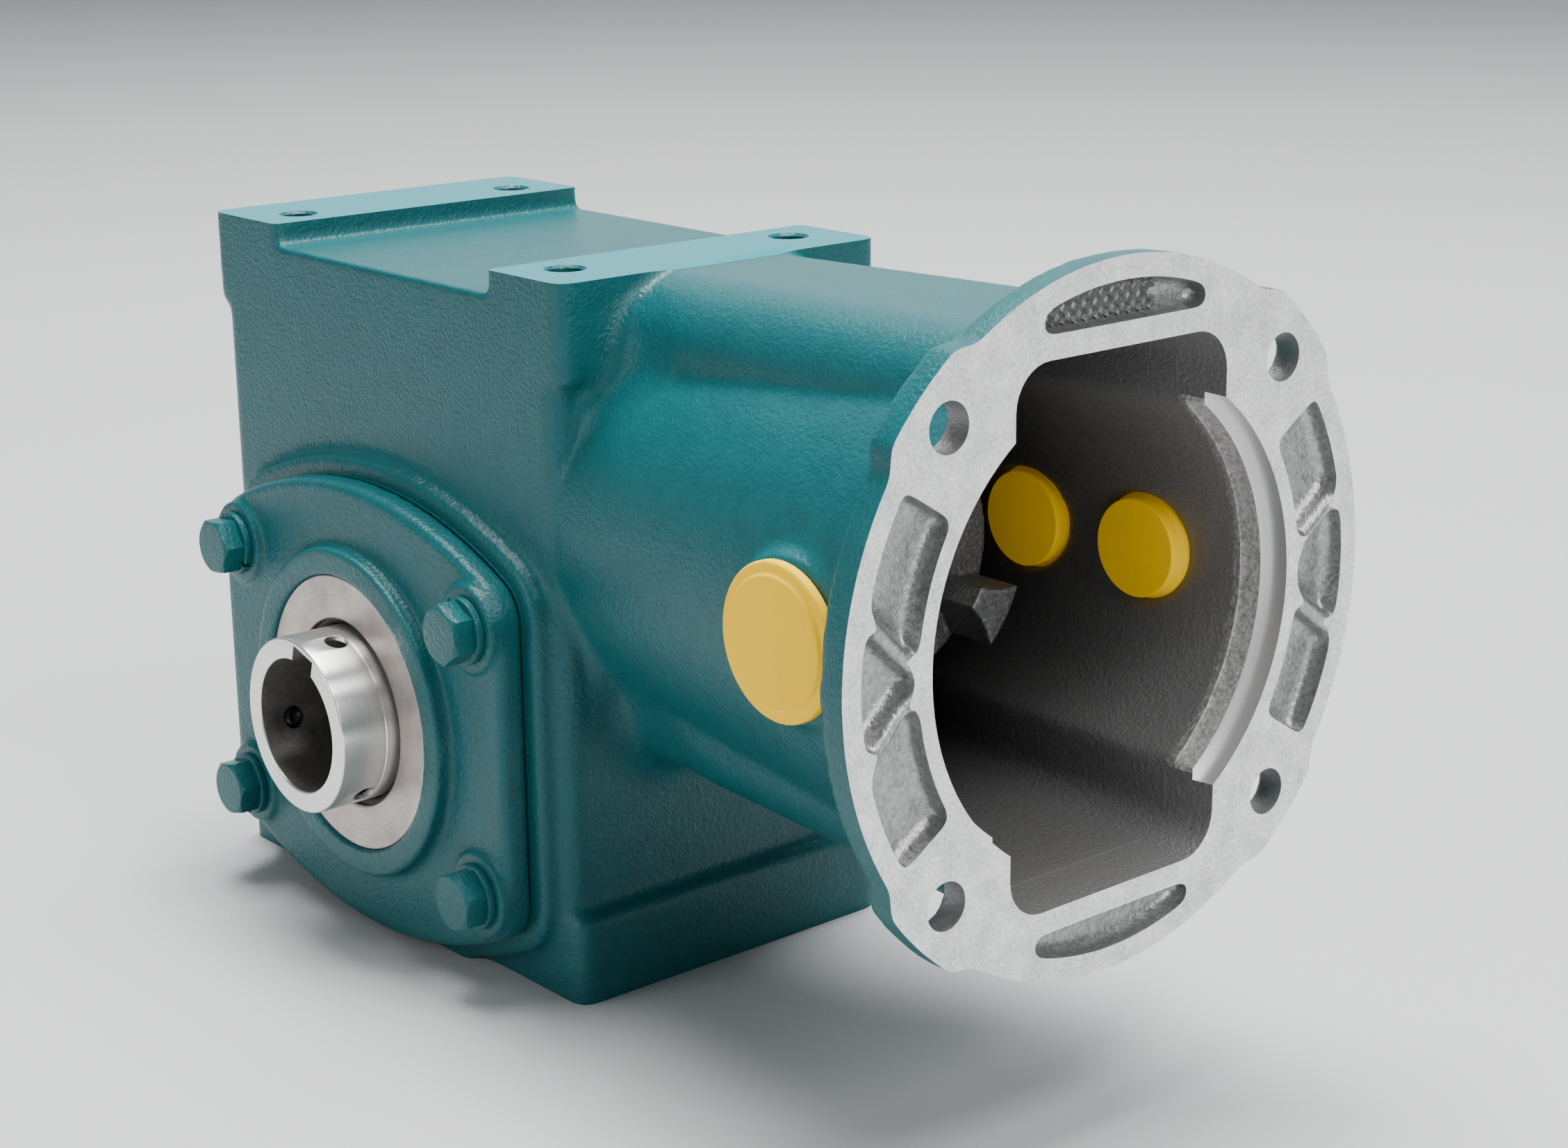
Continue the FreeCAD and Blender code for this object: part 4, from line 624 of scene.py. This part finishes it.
shader = add(tree, "ShaderNodeBsdfPrincipled", {
    "Base Color": shade.outputs["Color"], "Metallic": 0.9, "Roughness": 0.3,
    "Anisotropic": 0.75, "Anisotropic Rotation": 0.25,
    "Tangent": add(tree, "ShaderNodeTangent", direction_type="RADIAL", axis="Y").outputs["Tangent"],
    "Normal": add(tree, "ShaderNodeBump", {
        "Height": lathe.outputs["Fac"], "Distance": 0.01 * MM}).outputs["Normal"]})
add(tree, "ShaderNodeOutputMaterial", {"Surface": shader.outputs["BSDF"]})
dress("worm_shaft", bright)

# Hardened steel, ground and polished, has an even cool shine. Its faint unevenness is drawn 0.5 mm
# wide, because the real grinding marks are too fine to show.
ground, tree, place = new_material("ground_bearing_steel")
sheen = add(tree, "ShaderNodeTexNoise", {"Vector": place, "Scale": 1000 / 0.5, "Detail": 3.0})
shade = add(tree, "ShaderNodeValToRGB", {"Fac": sheen.outputs["Fac"]})
shade.color_ramp.elements[0].color = linear("9A9B9C")
shade.color_ramp.elements[1].color = linear("C8C9CA")
shader = add(tree, "ShaderNodeBsdfPrincipled", {
    "Base Color": shade.outputs["Color"], "Metallic": 1.0, "Roughness": 0.22})
add(tree, "ShaderNodeOutputMaterial", {"Surface": shader.outputs["BSDF"]})
for node in ("front_worm_bearing", "rear_worm_bearing"):
    dress(node, ground)

# Black oxide on steel keeps a film of oil, so it is nearly black with a soft sheen. The film's
# patches are 0.6 mm wide.
black, tree, place = new_material("black_oxide_steel")
haze = add(tree, "ShaderNodeTexNoise", {"Vector": place, "Scale": 1000 / 0.6, "Detail": 3.0})
shade = add(tree, "ShaderNodeValToRGB", {"Fac": haze.outputs["Fac"]})
shade.color_ramp.elements[0].color = linear("17181A")
shade.color_ramp.elements[1].color = linear("37393C")
shader = add(tree, "ShaderNodeBsdfPrincipled", {
    "Base Color": shade.outputs["Color"], "Metallic": 0.7, "Roughness": 0.36})
add(tree, "ShaderNodeOutputMaterial", {"Surface": shader.outputs["BSDF"]})
dress("front_retaining_ring", black)

# Moulded nitrile rubber is soft black and hardly shines. Its skin is drawn 0.7 mm wide, coarser than
# the mould leaves it.
rubber, tree, place = new_material("moulded_nitrile_rubber")
skin = add(tree, "ShaderNodeTexNoise", {"Vector": place, "Scale": 1000 / 0.7, "Detail": 2.0})
shader = add(tree, "ShaderNodeBsdfPrincipled", {
    "Base Color": linear("191817"), "Roughness": 0.55,
    "Normal": add(tree, "ShaderNodeBump", {
        "Height": skin.outputs["Fac"], "Distance": 0.03 * MM}).outputs["Normal"]})
add(tree, "ShaderNodeOutputMaterial", {"Surface": shader.outputs["BSDF"]})
dress("input_seal", rubber)

# Worm wheel
# The wheel is cast in bronze and its teeth are hobbed. A steel key drives it from the output shaft,
# which turns in two ball bearings.

# Tin bronze looks warm, with fine cutter marks. They are drawn 0.8 mm wide, coarser than real.
bronze, tree, place = new_material("hobbed_tin_bronze")
marks = add(tree, "ShaderNodeTexNoise", {"Vector": place, "Scale": 1000 / 0.8, "Detail": 4.0})
shade = add(tree, "ShaderNodeValToRGB", {"Fac": marks.outputs["Fac"]})
shade.color_ramp.elements[0].color = linear("A6793A")
shade.color_ramp.elements[1].color = linear("D3A55F")
shader = add(tree, "ShaderNodeBsdfPrincipled", {
    "Base Color": shade.outputs["Color"], "Metallic": 1.0, "Roughness": 0.3,
    "Normal": add(tree, "ShaderNodeBump", {
        "Height": marks.outputs["Fac"], "Distance": 0.02 * MM}).outputs["Normal"]})
add(tree, "ShaderNodeOutputMaterial", {"Surface": shader.outputs["BSDF"]})
dress("worm_wheel", bronze)
dress("wheel_key", bright)
for node in ("near_output_bearing", "far_output_bearing"):
    dress(node, ground)


# Output shaft
# A hollow steel shaft, turned bright, with a keyway through its bore. Its ends are chamfered, and
# three set screw holes stand in each.
def round_off(profile, radius, steps=4):
    """Rounds the corners of a closed profile of (along, out) points, in millimetres."""
    softened = []
    count = len(profile)
    for i in range(count):
        before, here, after = (Vector(profile[(i + k) % count]) for k in (-1, 0, 1))
        if here.y < 0.001:
            softened.append(here)
            continue
        a, b = before - here, after - here
        size = min(radius, 0.45 * a.length, 0.45 * b.length)
        start, end = here + a.normalized() * size, here + b.normalized() * size
        for k in range(steps + 1):
            t = k / steps
            softened.append((1 - t) ** 2 * start + 2 * t * (1 - t) * here + t * t * end)
    return softened


def turned(name, profile, sides=96, soft=0.4):
    """Solid turned about Y from a closed profile of (along, out) points, in millimetres."""
    shape = bmesh.new()
    rings = []
    for along, out in round_off(profile, soft):
        if out < 0.001:
            rings.append([shape.verts.new((0, along * MM, 0))])
            continue
        angles = [2 * math.pi * k / sides for k in range(sides)]
        rings.append([shape.verts.new((out * MM * math.sin(a), along * MM, out * MM * math.cos(a)))
                      for a in angles])
    for lower, upper in zip(rings, rings[1:] + rings[:1]):
        if len(lower) == 1 and len(upper) == 1:
            continue
        for k in range(sides):
            j = (k + 1) % sides
            corners = (lower[k % len(lower)], lower[j % len(lower)],
                       upper[j % len(upper)], upper[k % len(upper)])
            shape.faces.new(list(dict.fromkeys(corners)))
    bmesh.ops.recalc_face_normals(shape, faces=shape.faces)
    mesh = bpy.data.meshes.new(name)
    shape.to_mesh(mesh)
    shape.free()
    return mesh


def soft_edges(piece, width, segments=2, limit=30):
    """Breaks the sharp edges of a machined piece."""
    breaker = piece.modifiers.new("breaker", "BEVEL")
    breaker.width = width * MM
    breaker.segments = segments
    breaker.limit_method = "ANGLE"
    breaker.angle_limit = math.radians(limit)
    applied(piece)


bore = 18.256
collar = 24
bearing_seat = 25
wheel_stop = 30
groove = 23.75
shaft_end = 84
screw_row = 74
screw_hole = 3.175
keyway_half_width = 4.7625
keyway_floor = 22.4
keyway_turn = math.radians(16.3)
shaft_profile = [
    (-shaft_end, bore), (-shaft_end, collar), (-71.1, collar), (-70.9, groove), (-70.6, groove),
    (-70.4, collar), (-58, collar), (-58, bearing_seat), (20, bearing_seat), (20, wheel_stop),
    (42, wheel_stop), (42, bearing_seat), (58, bearing_seat), (58, collar), (shaft_end, collar),
    (shaft_end, bore)]
shaft = link("turned_output_shaft", turned("turned_output_shaft", shaft_profile, 160, 0.7))
keyway = block((-keyway_half_width, -90, 0), (keyway_half_width, 90, keyway_floor))
keyway.transform(Matrix.Rotation(keyway_turn, 4, "Y"))
cut(shaft, keyway)
screw_angles = [keyway_turn + math.radians(120 * k) for k in range(3)]
for side in (-1, 1):
    for angle in screw_angles:
        drill = rod(2, (0, side * screw_row), screw_hole, 10, 30, 40)
        drill.transform(Matrix.Rotation(angle, 4, "Y"))
        cut(shaft, drill)
soft_edges(shaft, 0.3, 2, 50)

# The bore's wall is painted darker than the bright steel outside, as painted shade inside the hollow
# shaft, and it mirrors little. Its tone varies in patches 2 mm wide.
bore_steel_painted_shade, tree, place = new_material("steel_bore_painted_shade")
bore_patches = add(tree, "ShaderNodeTexNoise", {"Vector": place, "Scale": 1000 / 2.0, "Detail": 3.0})
shade = add(tree, "ShaderNodeValToRGB", {"Fac": bore_patches.outputs["Fac"]})
shade.color_ramp.elements[0].color = linear("6C6A68")
shade.color_ramp.elements[1].color = linear("989593")
shader = add(tree, "ShaderNodeBsdfPrincipled", {
    "Base Color": shade.outputs["Color"], "Metallic": 0.75, "Roughness": 0.36})
add(tree, "ShaderNodeOutputMaterial", {"Surface": shader.outputs["BSDF"]})
shaft.data.materials.clear()
shaft.data.materials.append(bright)
shaft.data.materials.append(bore_steel_painted_shade)
# The faces of the bore take the steel painted darker, as painted shade.
for face in shaft.data.polygons:
    from_axis = Vector((face.center.x, 0, face.center.z)).length
    if from_axis < (collar - 0.8) * MM and abs(face.normal.y) < 0.5:
        face.material_index = 1
smooth(shaft)
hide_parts("output_shaft")
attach(shaft, "output")


# Set screws
# Four black socket set screws that clamp the driven shaft, two at each end. Their cup points show
# inside the bore. The hole above the keyway has none.
def prism(flats, turn_degrees, start, end):
    """Hexagon bar along Y, as a mesh; the angle is that of one corner above X."""
    bar = bmesh.new()
    corner = flats / math.sqrt(3)
    rings = []
    for along in (start, end):
        angles = [math.radians(turn_degrees + 60 * k) for k in range(6)]
        rings.append([bar.verts.new((corner * MM * math.cos(a), along * MM, corner * MM * math.sin(a)))
                      for a in angles])
    bar.faces.new(rings[0])
    bar.faces.new(rings[1][::-1])
    for k in range(6):
        j = (k + 1) % 6
        bar.faces.new((rings[0][j], rings[0][k], rings[1][k], rings[1][j]))
    bmesh.ops.recalc_face_normals(bar, faces=bar.faces)
    mesh = bpy.data.meshes.new("prism")
    bar.to_mesh(mesh)
    bar.free()
    return mesh


screw_profile = [(18.9, 0), (18.4, 1.2), (17.9, 1.7), (18.5, 2.4), (19.2, 3.1), (22.3, 3.1),
                 (22.9, 2.6), (22.9, 0)]
for side, name in ((-1, "near"), (1, "far")):
    for number, angle in enumerate(screw_angles[1:], start=1):
        screw = link(f"{name}_set_screw_{number}", turned("screw", screw_profile, 32, 0.15))
        cut(screw, prism(3.2, 0, 21, 24))
        lift = Matrix.Translation((0, side * screw_row * MM, 0)) @ Matrix.Rotation(math.pi / 2, 4, "X")
        screw.data.transform(Matrix.Rotation(angle, 4, "Y") @ lift)
        screw.data.materials.clear()
        screw.data.materials.append(black)
        smooth(screw)
        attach(screw, "output")

# Output cover and its gasket
# A cast iron plate with the near hub and four bolt bosses, painted with the case. Only its seal bore
# is turned crisp. The fibre sheet under it got the same paint on its edge.
seal_bore = 38.1
cover = link("cover_casting", copy_mesh("output_cover"))
remeshed(cover, voxel=0.8)
relax(cover, lambda points: np.full(len(points), 5))
cut(cover, rod(1, (0, 0), seal_bore, -72, -58, 128))
thin_out(cover, share=0.3)
cover.data.materials.clear()
cover.data.materials.append(enamel)
smooth(cover, 40)
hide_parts("output_cover")
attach(cover, "case")
dress("cover_gasket", enamel)

# Cover bolts
# Four hexagon screws with split lock washers, painted over where they sit. Each head keeps the angle
# at which it was tightened.
bolt_seat = -66.5
head_top = -74.5
washer = 2.1
head_flats = 14.29
bolt_angles = {(-57, 36): 5, (57, 36): 35, (-57, -36): 12, (57, -36): 20}
dome_profile = [(head_top, 0), (head_top, 6.9), (head_top + 1.1, 8.4), (-64, 9.6), (-64, 0)]
washer_profile = [(bolt_seat - washer, 5.2), (bolt_seat - washer, 8.9), (bolt_seat, 8.9),
                  (bolt_seat, 5.2)]
shank_profile = [(bolt_seat - washer - 1, 0), (bolt_seat - washer - 1, 4.7), (-46, 4.7),
                 (-45.5, 4.2), (-45.5, 0)]
for number, ((across, up), angle) in enumerate(bolt_angles.items()):
    head = link(f"cover_bolt_{number}", prism(head_flats, angle, head_top, bolt_seat - washer))
    cut(head, turned("dome", dome_profile, 64, 0.2), "INTERSECT")
    soft_edges(head, 0.35)
    ring = link("ring", turned("ring", washer_profile, 64, 0.5))
    gap = block((5, -75, -0.7), (10, -60, 0.7))
    gap.transform(Matrix.Rotation(math.radians(angle * 7), 4, "Y"))
    cut(ring, gap)
    head.data = joined(head.data, ring.data, turned("shank", shank_profile, 32, 0.2))
    bpy.data.objects.remove(ring)
    head.data.transform(Matrix.Translation((across * MM, 0, up * MM)))
    head.data.materials.clear()
    head.data.materials.append(enamel)
    smooth(head)
    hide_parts("cover_bolts")
    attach(head, "case")

# Output seals
# Each is a ring pressed from sheet steel with a black rubber lip that wipes the shaft. It is pushed
# into its bore after painting, so its face is clean.

# Coated pressed steel is warm grey, with faint rings from the press tool, drawn 0.7 mm apart so that
# they show, and stains 9 mm wide.
pressed, tree, place = new_material("pressed_seal_steel")
parts = add(tree, "ShaderNodeSeparateXYZ", {"Vector": place})
flat = add(tree, "ShaderNodeCombineXYZ", {"X": parts.outputs["X"], "Y": parts.outputs["Z"]})
radius = add(tree, "ShaderNodeVectorMath", {0: flat.outputs["Vector"]}, operation="LENGTH")
rings = add(tree, "ShaderNodeCombineXYZ", {"X": radius.outputs["Value"]})
brush = add(tree, "ShaderNodeTexNoise", {"Vector": rings.outputs["Vector"], "Scale": 1000 / 0.7,
                                         "Detail": 3.0})
stain = add(tree, "ShaderNodeTexNoise", {"Vector": place, "Scale": 1000 / 9.0, "Detail": 4.0})
mixed = add(tree, "ShaderNodeMath", {0: brush.outputs["Fac"], 1: stain.outputs["Fac"]},
            operation="MULTIPLY")
shade = add(tree, "ShaderNodeValToRGB", {"Fac": mixed.outputs["Value"]})
shade.color_ramp.elements[0].position = 0.1
shade.color_ramp.elements[0].color = linear("9A928E")
shade.color_ramp.elements[1].position = 0.45
shade.color_ramp.elements[1].color = linear("CDC4BE")
shader = add(tree, "ShaderNodeBsdfPrincipled", {
    "Base Color": shade.outputs["Color"], "Metallic": 0.85, "Roughness": 0.4,
    "Normal": add(tree, "ShaderNodeBump", {
        "Height": brush.outputs["Fac"], "Distance": 0.02 * MM}).outputs["Normal"]})
add(tree, "ShaderNodeOutputMaterial", {"Surface": shader.outputs["BSDF"]})
shell_profile = [(58.2, 38.05), (67.7, 38.05), (68, 37.7), (68, 26.5), (67.7, 26.0), (66.8, 25.8),
                 (66.8, 26.6), (67.2, 27.0), (67.2, 37.0), (58.2, 37.0)]
lip_profile = [(59.0, 36.8), (66.4, 36.8), (66.4, 25.4), (65.8, 24.4), (65.0, 24.15), (64.2, 25.6),
               (62.6, 25.6), (61.6, 24.15), (60.2, 25.6), (59.0, 26.5)]
for side, name in ((-1, "near"), (1, "far")):
    for part, profile, coat in (("shell", shell_profile, pressed), ("lip", lip_profile, rubber)):
        piece = link(f"{name}_seal_{part}", turned(part, [(side * a, r) for a, r in profile], 128, 0.25))
        piece.data.materials.append(coat)
        smooth(piece)
        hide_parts(f"{name}_output_seal")
        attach(piece, "case")

# Coupling hub
# A sintered iron coupling half with three jaws for the spider, keyed to the worm shaft and held by a
# set screw. Its edges are soft from the die.
hub = link("jaw_coupling_hub", copy_mesh("coupling_hub"))
remeshed(hub, voxel=0.6)
relax(hub, lambda points: np.full(len(points), 3))
thin_out(hub, share=0.3)

# Sintered iron holds oil in its pores, so it is dark and dull. The pores are drawn 0.9 mm wide; the
# real ones are too fine to show.
sinter, tree, place = new_material("oiled_sintered_iron")
pores = add(tree, "ShaderNodeTexNoise", {"Vector": place, "Scale": 1000 / 0.9, "Detail": 4.0})
shade = add(tree, "ShaderNodeValToRGB", {"Fac": pores.outputs["Fac"]})
shade.color_ramp.elements[0].position = 0.35
shade.color_ramp.elements[0].color = linear("48494A")
shade.color_ramp.elements[1].position = 0.7
shade.color_ramp.elements[1].color = linear("747574")
shader = add(tree, "ShaderNodeBsdfPrincipled", {
    "Base Color": shade.outputs["Color"], "Metallic": 0.6, "Roughness": 0.45,
    "Normal": add(tree, "ShaderNodeBump", {
        "Height": pores.outputs["Fac"], "Distance": 0.12 * MM}).outputs["Normal"]})
add(tree, "ShaderNodeOutputMaterial", {"Surface": shader.outputs["BSDF"]})
hub.data.materials.clear()
hub.data.materials.append(sinter)
hub.data.shade_smooth()
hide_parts("coupling_hub")
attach(hub, "worm")
dress("coupling_key", bright)

# Access plugs
# Three push-in caps of yellow polyethylene, moulded with a raised round face. They close the holes
# through which the coupling screw is reached.

# Moulded polyethylene has an even colour and a soft gloss. A faint yellow glow is painted on it as
# emission, painted light standing in for light that comes through the plastic.
# Swirls of pigment are 14 mm wide; the matt skin is drawn 0.9 mm wide, coarser than real.
yellow, tree, place = new_material("moulded_yellow_polyethylene")
swirl = add(tree, "ShaderNodeTexNoise", {"Vector": place, "Scale": 1000 / 14.0, "Detail": 3.0})
shade = add(tree, "ShaderNodeValToRGB", {"Fac": swirl.outputs["Fac"]})
shade.color_ramp.elements[0].position = 0.3
shade.color_ramp.elements[0].color = linear("F4C200")
shade.color_ramp.elements[1].position = 0.7
shade.color_ramp.elements[1].color = linear("FACB00")
matte = add(tree, "ShaderNodeTexNoise", {"Vector": place, "Scale": 1000 / 0.9, "Detail": 2.0})
shader = add(tree, "ShaderNodeBsdfPrincipled", {
    "Base Color": shade.outputs["Color"], "Roughness": 0.5, "Specular IOR Level": 0.12,
    # The emission is a painted glow; the cap is no lamp.
    "Emission Color": linear("FFC400"), "Emission Strength": 0.11,
    "Normal": add(tree, "ShaderNodeBump", {
        "Height": matte.outputs["Fac"], "Distance": 0.02 * MM}).outputs["Normal"]})
add(tree, "ShaderNodeOutputMaterial", {"Surface": shader.outputs["BSDF"]})
plug_profile = [(66.9, 0), (66.9, 15.2), (66.0, 15.9), (66.0, 17.9), (65.5, 18.4), (63.5, 18.4),
                (63.5, 13.3), (53.0, 13.3), (51.8, 12.4), (48.8, 12.3), (48.8, 0)]
plug_nodes = ("near_access_plug", "far_access_plug_outer", "far_access_plug_inner")
for node, (across, side) in zip(plug_nodes, plug_holes):
    cap = link(f"yellow_{node}", turned(node, [(side * a, r) for a, r in plug_profile], 96, 0.45))
    cap.data.transform(Matrix.Translation((across * MM, 0, worm_height * MM)))
    cap.data.materials.append(yellow)
    smooth(cap)
    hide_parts(node)
    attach(cap, "case")

# Oil plugs
# Three short steel pipe plugs with a hexagon socket: level and drain in the rear wall, fill in the
# far side. They are screwed in flush after painting.

# Zinc plating is pale and slightly cloudy, in clouds 3 mm wide.
zinc, tree, place = new_material("zinc_plated_steel")
cloud = add(tree, "ShaderNodeTexNoise", {"Vector": place, "Scale": 1000 / 3.0, "Detail": 4.0})
shade = add(tree, "ShaderNodeValToRGB", {"Fac": cloud.outputs["Fac"]})
shade.color_ramp.elements[0].color = linear("8D8C86")
shade.color_ramp.elements[1].color = linear("C2C0B6")
shader = add(tree, "ShaderNodeBsdfPrincipled", {
    "Base Color": shade.outputs["Color"], "Metallic": 1.0, "Roughness": 0.33})
add(tree, "ShaderNodeOutputMaterial", {"Surface": shader.outputs["BSDF"]})
oil_plugs = {"oil_level_plug": (Matrix.Rotation(math.pi / 2, 4, "Z"), (-82, 0, 10)),
             "oil_drain_plug": (Matrix.Rotation(math.pi / 2, 4, "Z"), (-82, 0, -30)),
             "oil_fill_plug": (Matrix.Rotation(math.pi, 4, "Z"), (-48, 51.7, 94))}
oil_plug_profile = [(0, 0), (0, 7.9), (0.6, 8.45), (7, 8.45), (7, 0)]
for node, (turn, spot) in oil_plugs.items():
    plug = link(f"steel_{node}", turned(node, oil_plug_profile, 64, 0.2))
    cut(plug, prism(8.0, 0, -1, 4))
    soft_edges(plug, 0.2, 2, 40)
    plug.data.transform(Matrix.Translation(Vector(spot) * MM) @ turn.inverted())
    plug.data.materials.clear()
    plug.data.materials.append(zinc)
    smooth(plug)
    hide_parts(node)
    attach(plug, "case")
